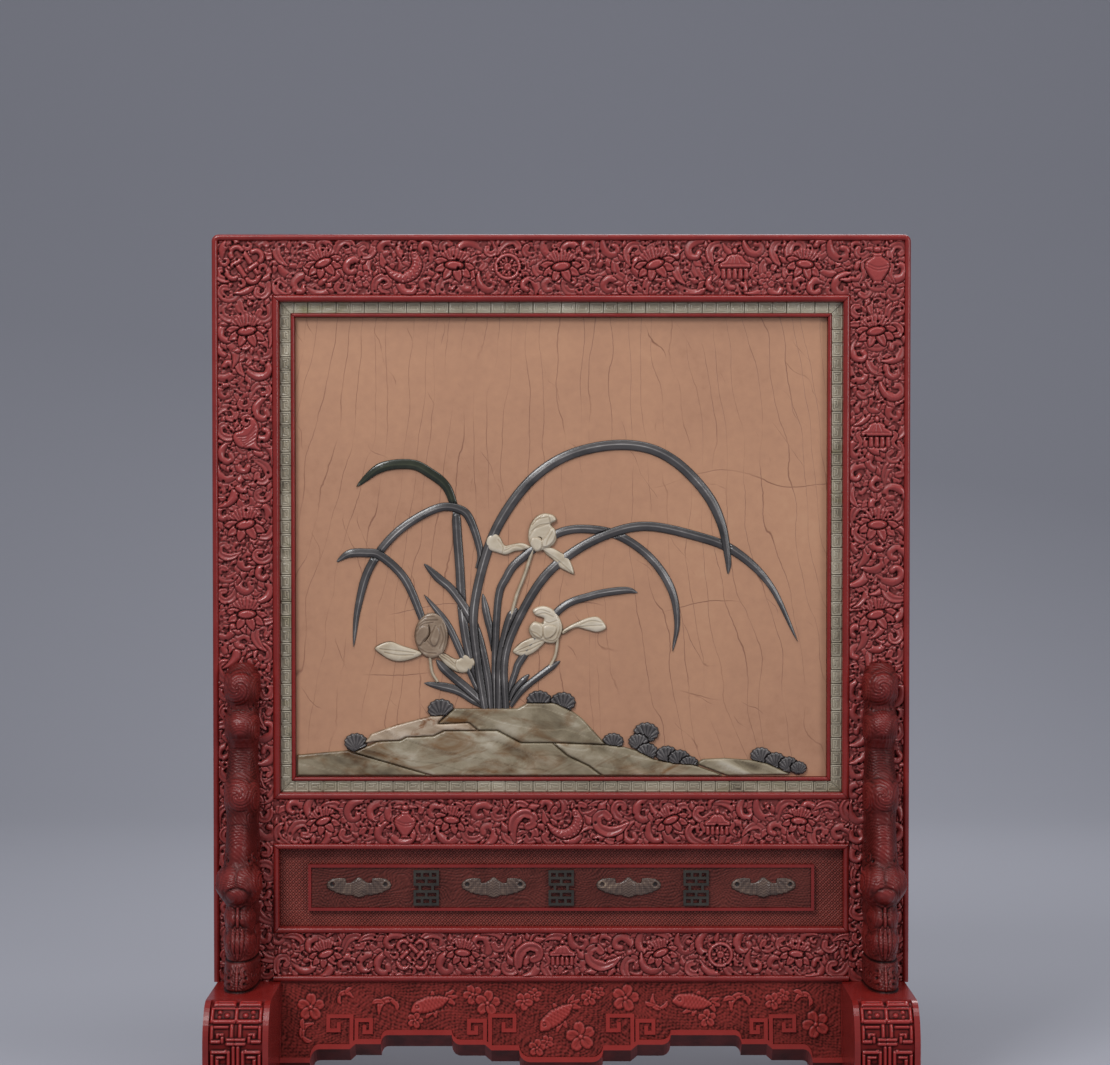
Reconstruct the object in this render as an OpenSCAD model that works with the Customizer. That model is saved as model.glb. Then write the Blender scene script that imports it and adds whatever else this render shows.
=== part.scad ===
// Carved lacquer table screen: a picture inlaid in stone, framed and set on two block feet.
// X runs along the screen, Y from the front (negative) to the back, Z up from the table top.

/* [Frame] */
// Overall width across the two posts
frame_w = 628; // [580:1:680]
// Thickness of posts and rails, front to back
frame_d = 40; // [36:1:48]
// Width of a post seen from the front
post_w = 54; // [48:1:62]
// Height of the top rail
top_rail_h = 54; // [48:1:62]
// Height of the middle rail
middle_rail_h = 40; // [34:1:48]
// Height of the lower rail
lower_rail_h = 44; // [38:1:52]
// Clear height between middle rail and top rail
picture_h = 455; // [420:1:490]
// Clear height between lower rail and middle rail
waist_h = 81; // [72:1:92]
// Width of the half-round bead on the outer edge
rim_w = 5.4; // [4:0.2:7]
// Depth of the carved bands below the bead
carve_d = 4; // [2.5:0.25:5.5]

/* [Joinery] */
// Length of the rail tenons inside the posts
rail_tenon_l = 30; // [20:1:38]
// Thickness of the rail tenons
rail_tenon_t = 12; // [8:1:16]
// Width of the post tenon inside the foot
post_tenon_w = 30; // [20:1:36]
// Thickness of the post tenon
post_tenon_t = 22; // [14:1:28]
// Length of the post tenon
post_tenon_l = 46; // [30:1:60]
// How far the panels reach into their grooves
tongue = 6; // [4:0.5:8]
// Clearance round tenons, tongues and dowels
fit = 0.15; // [0.1:0.05:0.3]
// Open seam between mitred strips and between inlaid stones
seam = 0.3; // [0.2:0.05:0.5]
// Diameter of the spandrel dowels
dowel_d = 6; // [4:0.5:8]
// Length of the spandrel dowels
dowel_l = 24; // [18:1:30]

/* [Feet] */
// Width of a foot seen from the front
foot_w = 57; // [50:1:64]
// Depth of a foot, front to back
foot_d = 244; // [220:1:280]
// Height of a foot
foot_h = 103; // [95:1:120]
// How far the rounded shoulder reaches forward
shoulder_d = 26; // [18:1:34]
// Height of the rounded shoulder
shoulder_h = 36; // [26:1:44]
// Width of the raised bands along the edges of a foot
foot_band = 5; // [3:0.5:7]
// Depth of the carved field between the bands
foot_field_d = 2.5; // [1.5:0.25:4]
// Height of the plinth under a foot
plinth_h = 16; // [12:1:20]
// Depth of the cove above the plinth
cove_r = 5; // [3:0.5:7]
// Width of the arch under a foot
arch_w = 70; // [50:1:76]
// Height of the arch under a foot
arch_h = 10; // [6:1:12]
// How far the feet stand inwards from the middle of the posts
foot_lap = 5; // [2:0.5:7]

/* [Spandrels] */
// Width of a spandrel's body
spandrel_w = 31; // [26:1:36]
// Depth of a spandrel at its base
spandrel_d = 58; // [48:1:66]
// Height of a spandrel
spandrel_h = 289; // [250:1:310]
// Distance between the two base dowels
dowel_gap = 26; // [18:1:32]

/* [Aprons] */
// Greatest drop of an apron's face below the lower rail
apron_drop = 72; // [65:1:74]
// Thickness of an apron
apron_t = 15; // [13:1:18]
// Lean of an apron's face out of the vertical
apron_lean = 10; // [4:1:14]
// Slope of an apron's lower edge below the horizontal
apron_edge = 35; // [28:1:42]
// Width of the raised lip along the lower edge
lip_w = 4.5; // [3:0.25:6]
// Height of the raised lip and frets
lip_t = 2.2; // [1.5:0.1:3]
// Width of a fret bar
fret_bar = 3.4; // [2.6:0.2:4]
// Length of the tongue on each end of an apron
apron_tongue_l = 8; // [5:0.5:12]
// Height of the tongue on each end of an apron
apron_tongue_h = 24; // [16:1:28]
// How far an apron's face stands behind the front of the posts
apron_set = 2; // [0:0.5:6]

/* [Picture] */
// Thickness of the picture board and the waist panel
board_t = 8; // [6:0.5:10]
// Thickness of the back panel
back_t = 6; // [4:0.5:8]
// How far the back panel lies inside the back of the frame
back_set = 4; // [2:0.5:5]
// Width of the bead round the picture opening
sight_w = 6.3; // [5:0.1:8]
// How far the sight bead stays behind the front of the frame
sight_set = 0.5; // [0:0.25:2]
// Width of the stone border
border_w = 10; // [8:0.5:13]
// Thickness of the stone border
border_t = 8; // [6:0.5:10]
// Length of a border tile
tile_l = 25; // [18:1:32]
// Width of the fillet inside the border
fillet_w = 3.4; // [2.6:0.2:5]
// Thickness of the fillet
fillet_t = 9.5; // [7:0.5:11]
// Thickness of the lacquer ground
ground_t = 3; // [2:0.5:5]
// Thickness of the leaf stones
leaf_t = 3; // [2:0.25:4]
// Thickness of the petal stones
petal_t = 4.5; // [3:0.25:6]
// Thickness of the rock stones
rock_t = 3.5; // [2.5:0.25:5]

/* [Waist] */
// Depth of the waist panel behind the front of the frame
waist_recess = 12; // [9:0.5:14]
// Width of the bead round the waist panel
waist_bead_w = 5; // [4:0.25:7]
// Ground left open at each end of the raised plaque
plaque_end = 26; // [18:1:34]
// Ground left open above and below the raised plaque
plaque_gap = 14.5; // [11:0.5:17]
// Thickness of the raised plaque at its rim
plaque_t = 5.5; // [4:0.25:7]
// Width of the plaque's rim
plaque_rim = 2.7; // [2:0.1:4]
// Depth of the plaque's field below its rim
plaque_field_d = 1.8; // [1:0.1:2.5]
// Thickness of the stones on the plaque
motif_t = 3; // [2:0.25:4]
// Wing span of a bat stone
bat_w = 59; // [50:1:64]
// Width of an openwork fret stone
fret_w = 23; // [20:0.5:26]
// Gap between a fret stone and the rim above and below it
fret_gap = 2.3; // [1:0.1:3.5]

/* [Hidden] */
$fn = 48;
half_w = frame_w / 2;
open_w = frame_w - 2 * post_w;
face_y = -frame_d / 2;
back_y = frame_d / 2;
floor_y = face_y + carve_d;
corner_r = rim_w + 1;
waist_z = foot_h + lower_rail_h;
middle_z = waist_z + waist_h;
picture_z = middle_z + middle_rail_h;
top_z = picture_z + picture_h;
total_h = top_z + top_rail_h;
post_x = half_w - post_w / 2;
foot_x = post_x - foot_lap;
foot_in = foot_x - foot_w / 2;
tenon_shoulder = tongue + 2;
board_y = -board_t / 2;
waist_y = face_y + waist_recess;
cut = 1;

// Picture ground and the size at which the inlay's points were drawn
ground_w = open_w - 2 * (sight_w + border_w + fillet_w);
ground_h = picture_h - 2 * (sight_w + border_w + fillet_w);
ground_z = picture_z + sight_w + border_w + fillet_w;
drawn = [480.6, 415.6];
ground_y = board_y - ground_t;

lacquer = "#8c3430";
lacquer_dark = "#5a1f1c";
ochre = "#b98a68";
celadon = "#8b8676";
leaf_green = "#3f4a3c";
pale_jade = "#d8d2c0";
russet = "#8a6f55";
rock_green = "#6d705f";
bamboo = "#b9a06c";

// General helpers

module on_side(side) {
    if (side < 0) mirror([1, 0, 0]) children();
    else children();
}

module at_back(back) {
    if (back) mirror([0, 1, 0]) children();
    else children();
}

// Raises a shape drawn in X and Z from plane y towards the front by t
module plate(y, t) {
    translate([0, y, 0]) rotate([90, 0, 0]) linear_extrude(t) children();
}

// Block given by its near corner and its far corner
module block(a, b) {
    translate(a) cube(b - a);
}

// Curves through points

function blend(a, b, c, d, t) =
    (2 * b + (c - a) * t + (2 * a - 5 * b + 4 * c - d) * t ^ 2 + (3 * b - a - 3 * c + d) * t ^ 3) / 2;

function open_curve(p, n) = let (m = len(p) - 1) concat(
    [for (i = [0:m - 1]) for (k = [0:n - 1])
        blend(p[max(i - 1, 0)], p[i], p[i + 1], p[min(i + 2, m)], k / n)], [p[m]]);

function closed_curve(p, n) = let (m = len(p)) [for (i = [0:m - 1]) for (k = [0:n - 1])
    blend(p[(i + m - 1) % m], p[i], p[(i + 1) % m], p[(i + 2) % m], k / n)];

function side_of(q, i) = let (d = q[min(i + 1, len(q) - 1)] - q[max(i - 1, 0)]) [-d.y, d.x] / norm(d);

// Quarter ellipse from a to b that leaves a along the first axis
function quarter(a, b, n) = [for (k = [0:n]) let (t = 90 * k / n)
    [a.x + (b.x - a.x) * sin(t), a.y + (b.y - a.y) * (1 - cos(t))]];

// Posts and rails

// Section of the edge bead: x across the bead, y towards the front
module rim_section() {
    translate([0, -back_y]) square([rim_w, frame_d - rim_w / 2]);
    translate([rim_w / 2, -face_y - rim_w / 2]) circle(d = rim_w);
}

module rim_along(len) {
    rotate([180, -90, 0]) linear_extrude(len) rim_section();
}

module rim_up(len) {
    mirror([0, 1, 0]) linear_extrude(len) rim_section();
}

module post_outline() {
    difference() {
        translate([half_w - post_w, foot_h]) square([post_w, total_h - foot_h]);
        translate([half_w - corner_r, total_h - corner_r]) difference() {
            square(corner_r + cut);
            circle(corner_r);
        }
    }
}

module post_tenon(grow) {
    x = post_tenon_w / 2 + grow;
    y = post_tenon_t / 2 + grow;
    block([post_x - x, -y, foot_h - post_tenon_l - grow], [post_x + x, y, foot_h + cut]);
}

module rail_tenon(z, h, grow) {
    y = (floor_y + back_y) / 2;
    t = rail_tenon_t / 2 + grow;
    low = z + tenon_shoulder - grow;
    high = z + h - tenon_shoulder + grow;
    block([open_w / 2 - cut, y - t, low], [open_w / 2 + rail_tenon_l + grow, y + t, high]);
}

module all_rail_tenons(grow) {
    rail_tenon(foot_h, lower_rail_h, grow);
    rail_tenon(middle_z, middle_rail_h, grow);
    rail_tenon(top_z, top_rail_h, grow);
}

// Panel with its tongues, in an opening of the frame
module panel(y, t, z, h, grow) {
    x = open_w / 2 + tongue + grow;
    block([-x, y - grow, z - tongue - grow], [x, y + t + grow, z + h + tongue + grow]);
}

module picture_panel(grow) panel(board_y, board_t, picture_z, picture_h, grow);
module waist_board(grow) panel(waist_y, board_t, waist_z, waist_h, grow);
module rear_panel(grow) panel(back_y - back_set - back_t, back_t, picture_z, picture_h, grow);

module all_panels(grow) {
    picture_panel(grow);
    waist_board(grow);
    rear_panel(grow);
}

module post_body() {
    plate(back_y, back_y - floor_y) post_outline();
    translate([half_w - rim_w, 0, foot_h]) rim_up(total_h - foot_h - corner_r);
    translate([half_w - post_w, 0, total_h - rim_w]) rim_along(post_w - corner_r);
    translate([half_w - corner_r, 0, total_h - corner_r]) rotate([90, 0, 0])
        rotate_extrude(angle = 90) translate([corner_r - rim_w, 0]) rim_section();
    post_tenon(0);
}

module post(side) {
    color(lacquer) on_side(side) difference() {
        post_body();
        all_rail_tenons(fit);
        all_panels(fit);
        post_dowels(fit);
    }
}

module rail(z, h) {
    difference() {
        union() {
            block([-open_w / 2, floor_y, z], [open_w / 2, back_y, z + h]);
            rail_tenon(z, h, 0);
            mirror([1, 0, 0]) rail_tenon(z, h, 0);
            children();
        }
        all_panels(fit);
    }
}

module top_rail() {
    color(lacquer) rail(top_z, top_rail_h)
        translate([-open_w / 2, 0, total_h - rim_w]) rim_along(open_w);
}

module middle_rail() {
    color(lacquer) rail(middle_z, middle_rail_h);
}

module lower_rail() {
    color(lacquer) rail(foot_h, lower_rail_h)
        translate([-open_w / 2, 0, foot_h]) rim_along(open_w);
}

// Feet

foot_y = foot_d / 2;
field_low = plinth_h + 2 * cove_r;

// Front edge of the foot from the top of the shoulder down to the cove, moved in by d
function foot_front(d) = concat(
    [for (k = [0:12]) let (a = 7.5 * k)
        [foot_y - shoulder_d + (shoulder_d - d) * sin(a), foot_h - shoulder_h + (shoulder_h - d) * cos(a)]],
    [[foot_y - d, field_low]]);

module foot_profile() {
    difference() {
        for (s = [-1, 1]) scale([s, 1]) difference() {
            polygon(concat([[0, 0], [0, foot_h]], foot_front(0), [[foot_y, 0]]));
            translate([foot_y, plinth_h + cove_r]) circle(cove_r);
        }
        difference() {
            translate([-arch_w / 2, -cut]) square([arch_w, arch_h + cut]);
            for (s = [-1, 1]) translate([s * arch_w / 2, arch_h]) difference() {
                square([2 * arch_h, 2 * arch_h], center = true);
                translate([-s * arch_h, -arch_h]) circle(arch_h);
            }
        }
    }
}

// Hollow of the carved field between the two edge bands
module foot_field() {
    polygon(concat(foot_front(foot_field_d), [[foot_y + cut, field_low], [foot_y + cut, foot_h + cut],
        [foot_y - shoulder_d, foot_h + cut]]));
}

// Turns a side view, drawn in Y and Z, into a solid that is w wide round the X axis
module side_slab(w) {
    rotate([90, 0, 90]) linear_extrude(w, center = true) children();
}

module foot(side) {
    color(lacquer) on_side(side) difference() {
        translate([foot_x, 0, 0]) difference() {
            side_slab(foot_w) foot_profile();
            for (s = [-1, 1]) side_slab(foot_w - 2 * foot_band) scale([s, 1]) foot_field();
        }
        post_tenon(fit);
        foot_dowels(fit);
        for (back = [false, true]) at_back(back) apron_tongue(fit);
    }
}

// Spandrels: standing beast brackets, drawn 58 deep, 289 high and 31 wide

spandrel_drawn = [58, 289, 31];
spandrel_side = [[0, 0], [58, 0], [58, 6], [49, 27], [43, 32], [45, 52], [41, 72], [46, 88], [42, 112], [35, 152],
    [30, 171], [22, 196], [17, 213], [22, 232], [17, 250], [16, 272], [9, 289], [0, 289]];
spandrel_rolls = [[38, 41, 14], [36, 62, 13], [36, 92, 19], [22, 171, 17], [15, 232, 15], [12, 268, 17]];
spandrel_half = [[15.5, 0], [15.5, 25], [13, 30], [15.5, 45], [13.5, 53], [15.5, 66], [14, 74], [17, 80], [24, 90],
    [22, 104], [16, 110], [14.5, 122], [13, 148], [15.5, 163], [15.5, 180], [12, 200], [11, 213], [15, 224],
    [15, 240], [12.5, 250], [15.5, 262], [15.5, 276], [11, 286], [5, 289]];
spandrel_kx = spandrel_d / spandrel_drawn.x;
spandrel_kz = spandrel_h / spandrel_drawn.y;
spandrel_kw = spandrel_w / spandrel_drawn.z;
back_dowel_share = 0.6;

module spandrel_profile() {
    intersection() {
        union() {
            polygon([for (p = spandrel_side) [p.x * spandrel_kx, p.y * spandrel_kz]]);
            for (r = spandrel_rolls) translate([r.x * spandrel_kx, r.y * spandrel_kz]) circle(r.z * spandrel_kx);
        }
        square([2 * spandrel_d, spandrel_h]);
    }
}

module spandrel_outline() {
    right = [for (p = spandrel_half) [p.x * spandrel_kw, p.y * spandrel_kz]];
    left = [for (i = [len(right) - 1:-1:0]) [-right[i].x, right[i].y]];
    polygon(concat(right, left));
}

// Plane that a spandrel leans on: the carved floor in front, the plain back behind
function seat_y(back) = back ? back_y : -floor_y;

module spandrel(side, back) {
    color(lacquer) on_side(side) at_back(back) difference() {
        translate([post_x, 0, foot_h]) intersection() {
            mirror([0, 1, 0]) translate([0, seat_y(back), 0]) side_slab(3 * spandrel_w) spandrel_profile();
            plate(0, seat_y(back) + 2 * spandrel_d) spandrel_outline();
        }
        base_dowels(seat_y(back), fit);
        back_dowel(seat_y(back), fit);
        if (!back) block([half_w - rim_w - fit, face_y - fit, 0], [half_w + cut, floor_y + cut, total_h]);
    }
}

module base_dowels(seat, grow) {
    for (k = [-1, 1]) translate([post_x, -seat - spandrel_d / 2 + k * dowel_gap / 2, foot_h])
        cylinder(d = dowel_d + 2 * grow, h = dowel_l + 2 * grow, center = true);
}

module back_dowel(seat, grow) {
    translate([post_x, -seat, foot_h + spandrel_h * back_dowel_share]) rotate([90, 0, 0])
        cylinder(d = dowel_d + 2 * grow, h = dowel_l + 2 * grow, center = true);
}

module foot_dowels(grow) {
    for (back = [false, true]) at_back(back) base_dowels(seat_y(back), grow);
}

module post_dowels(grow) {
    for (back = [false, true]) at_back(back) back_dowel(seat_y(back), grow);
}

module spandrel_dowels() {
    color(bamboo) for (side = [-1, 1]) on_side(side) {
        foot_dowels(0);
        post_dowels(0);
    }
}

// Aprons: cusped boards, drawn 254 long from the middle and 72 deep

apron_drawn = [254, 72];
apron_half_l = foot_in - fit;
apron_kx = apron_half_l / apron_drawn.x;
apron_kz = apron_drop / apron_drawn.y;

// Lower edge from the middle to the end, as distance along and drop
apron_steps = concat([[0, 71.5]], quarter([28, 71.5], [38, 61], 5), [[63, 61], [69, 56]],
    quarter([91, 56], [99, 47.5], 5), [[157, 47.5]], quarter([157, 47.5], [163, 55.5], 5),
    [[186, 55.5], [191, 60]], quarter([219, 60], [227, 72], 5), [[254, 72]]);
apron_edge_right = [for (p = apron_steps) [p.x * apron_kx, -p.y * apron_kz]];
apron_edge_left = [for (i = [len(apron_edge_right) - 1:-1:1]) [-apron_edge_right[i].x, apron_edge_right[i].y]];
apron_line = concat(apron_edge_left, apron_edge_right);

// Room above the face that the slanted prism needs before its top is cut level
apron_head = 3 * apron_t;

module apron_outline(squeeze) {
    polygon(concat([for (p = apron_line) [p.x, p.y * squeeze]],
        [[apron_half_l, apron_head], [-apron_half_l, apron_head]]));
}

// Carved field above the lip, open to the rail over it and to the feet
module apron_field() {
    out = apron_half_l + cut;
    low = -apron_drop + lip_w;
    polygon(concat([[-out, low]], [for (p = apron_line) [p.x, p.y + lip_w]],
        [[out, low], [out, apron_head], [-out, apron_head]]));
}

// Square spiral of bars that starts at the foot of its outer upright and turns inwards to -x
module square_spiral(size) {
    turns = [[0, 0], [0, 1], [-1, 1], [-1, 0.48], [-0.55, 0.48], [-0.55, 0.7]];
    for (i = [0:len(turns) - 2]) {
        a = [turns[i].x * size.x, turns[i].y * size.y];
        b = [turns[i + 1].x * size.x, turns[i + 1].y * size.y];
        translate([min(a.x, b.x) - fret_bar / 2, min(a.y, b.y) - fret_bar / 2])
            square([abs(a.x - b.x) + fret_bar, abs(a.y - b.y) + fret_bar]);
    }
}

// Two spirals, large and small, that rise from the step at x on the lower edge
module fret_pair(x, drop, large, small, turn) {
    translate([x * apron_kx, -drop * apron_kz + fret_bar / 2]) scale([turn, 1]) {
        translate([-fret_bar / 2, 0]) square_spiral(large * apron_kz);
        translate([fret_bar * 0.85, 0]) mirror([1, 0]) square_spiral(small * apron_kz);
    }
}

module apron_frets() {
    for (s = [-1, 1]) scale([s, 1]) {
        fret_pair(66, 57, [22, 25], [14.5, 20.5], 1);
        fret_pair(188, 56.5, [21, 24], [13, 20.5], -1);
    }
}

// Board in its own frame: the lip's front at y = 0, the top edge at z = 0
module apron_board() {
    reach = 4 * (apron_drop + apron_head);
    difference() {
        intersection() {
            rotate([90 - apron_edge, 0, 0]) linear_extrude(reach, center = true) apron_outline(cos(apron_edge));
            block([-half_w, 0, -2 * apron_drop], [half_w, apron_t, apron_t]);
        }
        difference() {
            plate(lip_t, lip_t + cut) apron_field();
            plate(lip_t, lip_t) apron_frets();
        }
    }
}

// Sets an apron's own frame under the lower rail
module apron_place() {
    translate([0, face_y + apron_set, foot_h]) rotate([-apron_lean, 0, 0]) children();
}

module apron_tongue(grow) {
    apron_place() block([apron_half_l - cut, apron_t / 3 - grow, -apron_drop / 2 - apron_tongue_h / 2 - grow],
        [apron_half_l + apron_tongue_l + grow, apron_t * 2 / 3 + grow, -apron_drop / 2 + apron_tongue_h / 2 + grow]);
}

module apron(back) {
    color(lacquer_dark) at_back(back) {
        intersection() {
            apron_place() apron_board();
            block([-half_w, -foot_d, 0], [half_w, foot_d, foot_h]);
        }
        for (side = [-1, 1]) on_side(side) apron_tongue(0);
    }
}

// Mitred frames of strips

// Strip along the bottom of a w by h opening, cut at 45 degrees at both ends
module mitred(w, strip) {
    polygon([[-w / 2 + seam, 0], [w / 2 - seam, 0], [w / 2 - strip - seam, strip], [-w / 2 + strip + seam, strip]]);
}

// Four strips of round-topped section that line an opening whose middle is at height z
module bead_frame(w, h, z, strip, y, t) {
    for (k = [0:3]) translate([0, 0, z]) rotate([0, 90 * k, 0])
        translate([0, 0, -(k % 2 == 0 ? h : w) / 2]) intersection() {
            plate(y, t) mitred(k % 2 == 0 ? w : h, strip);
            translate([-w - h, y, 0]) rotate([180, -90, 0]) linear_extrude(2 * (w + h)) bead_section(strip, t);
        }
}

module bead_section(strip, t) {
    square([strip, t - strip / 2]);
    translate([strip / 2, t - strip / 2]) circle(d = strip);
}

// Waist

module waist_panel() {
    color(lacquer_dark) waist_board(0);
}

module waist_moulding() {
    color(lacquer) bead_frame(open_w, waist_h, waist_z + waist_h / 2, waist_bead_w, waist_y, waist_recess);
}

plaque_w = open_w - 2 * (waist_bead_w + plaque_end);
plaque_h = waist_h - 2 * (waist_bead_w + plaque_gap);
fret_h = plaque_h - 2 * (plaque_rim + fret_gap);
// Seven stones stand one pitch apart, with three quarters of a pitch beyond the last ones
motif_pitch = plaque_w / 7.5;
plaque_z = waist_z + waist_h / 2;
plaque_y = waist_y - plaque_t;
motif_y = plaque_y + plaque_field_d;

module waist_plaque() {
    color(lacquer) difference() {
        plate(waist_y, plaque_t) translate([0, plaque_z]) square([plaque_w, plaque_h], center = true);
        plate(motif_y, plaque_t) translate([0, plaque_z])
            square([plaque_w - 2 * plaque_rim, plaque_h - 2 * plaque_rim], center = true);
    }
}

// Half of a bat seen from the front, drawn 59 wide, from the brow round the wing to the tail
bat_drawn = 59;
bat_half = [[0, 9.3], [1.6, 9], [3.8, 7], [7.6, 4.4], [11.2, 4.1], [12.1, 8.3], [17.3, 8.8], [24.4, 8], [28.4, 5.3],
    [29.5, 2.2], [28.4, -0.9], [25.2, -2.7], [22.6, -3.6], [21.3, -4.9], [18.6, -4.9], [17.2, -6.1], [13.8, -6.2],
    [12, -7.2], [8.6, -6.9], [6.3, -7], [4.2, -8.4], [0, -9.2]];
bat_eye = [24, 2.9];
bat_hole_d = 3.6;

module bat(place) {
    k = bat_w / bat_drawn;
    right = bat_half * k;
    left = [for (i = [len(right) - 2:-1:1]) [-right[i].x, right[i].y]];
    color(celadon) plate(motif_y, motif_t) translate([place * motif_pitch, plaque_z]) difference() {
        polygon(concat(right, left));
        for (s = [-1, 1]) translate([s * bat_eye.x, bat_eye.y] * k) circle(d = bat_hole_d);
    }
}

// Openwork fret: two barred frames joined by uprights
fret_stone_bar = 2.3;

module fret_stone() {
    b = fret_stone_bar;
    rows = [fret_h / 2 - b / 2, fret_h * 0.28, fret_h * 0.1];
    for (s = [-1, 1]) scale([1, s]) {
        for (y = rows) translate([0, y]) square([fret_w, b], center = true);
        for (x = [-1, 1]) translate([x * (fret_w - b) / 2 - b / 2, rows[2]]) square([b, rows[0] - rows[2]]);
        for (x = [-1, 1]) translate([x * fret_w / 6 - b / 2, rows[1]]) square([b, rows[0] - rows[1]]);
        translate([-b / 2, rows[2]]) square([b, rows[1] - rows[2]]);
        for (x = [-1, 1]) translate([x * fret_w / 4 - b / 2, 0]) square([b, rows[2]]);
    }
}

module fret_plaques() {
    color(leaf_green) plate(motif_y, motif_t) for (place = [-2, 0, 2])
        translate([place * motif_pitch, plaque_z]) fret_stone();
}

// Picture board, ground, border and back

module picture_board() {
    color(russet) picture_panel(0);
}

module back_panel() {
    color(lacquer_dark) rear_panel(0);
}

module picture_ground() {
    color(ochre) plate(board_y, ground_t) translate([0, ground_z + ground_h / 2])
        square([ground_w - 2 * seam, ground_h - 2 * seam], center = true);
}

picture_mid = picture_z + picture_h / 2;

module sight_moulding() {
    t = board_y - face_y - sight_set;
    color(lacquer) bead_frame(open_w, picture_h, picture_mid, sight_w, board_y, t);
}

module panel_fillet() {
    lap = 2 * (sight_w + border_w);
    color(lacquer) bead_frame(open_w - lap, picture_h - lap, picture_mid, fillet_w, board_y, fillet_t);
}

// Row of border tiles along one side: 0 bottom, 1 left, 2 top, 3 right
module border(k) {
    w = (k % 2 == 0 ? open_w : picture_h) - 2 * sight_w;
    h = (k % 2 == 0 ? picture_h : open_w) - 2 * sight_w;
    count = round(w / tile_l);
    color(celadon) translate([0, 0, picture_mid]) rotate([0, 90 * k, 0]) plate(board_y, border_t)
        translate([0, -h / 2]) difference() {
            mitred(w, border_w);
            for (i = [1:count - 1]) translate([-w / 2 + i * w / count - seam / 2, -cut])
                square([seam, border_w + 2 * cut]);
        }
}

// Inlay: points are millimetres from the middle of a line drawn_up above the ground's lower edge, as drawn

drawn_up = 2;

function drawn_at(p) = [p.x * ground_w / drawn.x, ground_z + (p.y + drawn_up) * ground_h / drawn.y];
function drawn_path(p) = [for (q = p) drawn_at(q)];

// Share by which the drawing is drawn smaller or larger, so that widths follow its lines
drawn_share = min(ground_w / drawn.x, ground_h / drawn.y);

// Leaves from root to tip, lowest first: half width, then the middle line
leaves = [
    [3.3, [[-67, 59], [-73, 73], [-90, 109], [-103, 136], [-124, 163]]],
    [4.2, [[-66, 59], [-72, 80], [-83, 109], [-89, 143], [-92, 191], [-93.5, 210], [-94.5, 226], [-95, 236],
        [-95.5, 243]]],
    [4.6, [[-95.5, 240], [-104, 261], [-120, 274], [-136, 281], [-163, 278], [-185, 261]]],
    [4, [[-70, 62], [-80, 68], [-96, 77], [-124, 83]]],
    [3.4, [[-61, 112], [-63, 127], [-67, 143], [-71, 164]]],
    [3.9, [[-60, 59], [-60, 103], [-57, 159], [-50, 178], [-38, 194], [-2, 219], [30, 222], [57, 214], [83, 194],
        [100, 167], [105, 138], [101, 112]]],
    [3.6, [[-52, 59], [-42, 91], [-35, 106], [-2, 149], [27, 162], [57, 167], [69, 165]]],
    [3, [[-46, 67], [-41, 78], [-29, 91]]],
    [3.2, [[-46, 62], [-35, 77], [-15, 93], [-1, 103]]],
    [4, [[-68, 62], [-84, 77], [-103, 93], [-113, 104]]],
    [4.6, [[-56, 59], [-54, 104], [-47, 138], [-40, 151]]],
    [3.9, [[-64, 59], [-67, 91], [-78, 134], [-97, 165], [-112, 179], [-124, 191]]],
    [3.9, [[-75, 187], [-73, 201], [-81, 228], [-91, 240], [-113, 241], [-148, 220], [-173, 188], [-184, 151],
        [-188, 116]]],
    [4, [[-121, 123], [-128, 147], [-142, 178], [-163, 198], [-177, 201], [-192, 200], [-203, 193]]],
    [4.3, [[-50, 59], [-51, 104], [-40, 138], [-17, 177], [10, 201], [43, 218], [77, 225], [119, 217], [156, 203],
        [189, 172], [214, 121]]],
    [4.7, [[-69, 59], [-76, 105], [-79, 149], [-67, 202], [-50, 238], [-25, 269], [6, 289], [43, 298], [77, 296],
        [105, 282], [131, 255], [145, 227], [151, 195], [151, 182]]]];
leaf_steps = 4;
leaf_root = 0.72;
leaf_tip = 0.45;

// Share of a leaf's full width at t, from a narrower root to a pointed tip
function leaf_share(t) = min(leaf_root + (1 - leaf_root) * t / 0.3, 1, (max(1 - t, 0) / 0.2) ^ 0.5);

function ribbon(p, half, grow, plain) = let (q = open_curve(drawn_path(p), leaf_steps), m = len(q) - 1,
    h = [for (i = [0:m]) drawn_share * (plain ? half : max(half * leaf_share(i / m), leaf_tip)) + grow])
    concat([for (i = [0:m]) q[i] + side_of(q, i) * h[i]], [for (i = [m:-1:0]) q[i] - side_of(q, i) * h[i]]);

module leaf_shape(i, grow) {
    polygon(ribbon(leaves[i][1], leaves[i][0], grow, false));
}

module leaf(i) {
    color(leaf_green) plate(ground_y, leaf_t) difference() {
        leaf_shape(i, 0);
        for (j = [i + 1:1:len(leaves) - 1]) leaf_shape(j, seam);
        for (f = flowers) flower_shape(f, seam);
        rock_shape(2);
    }
}

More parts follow.
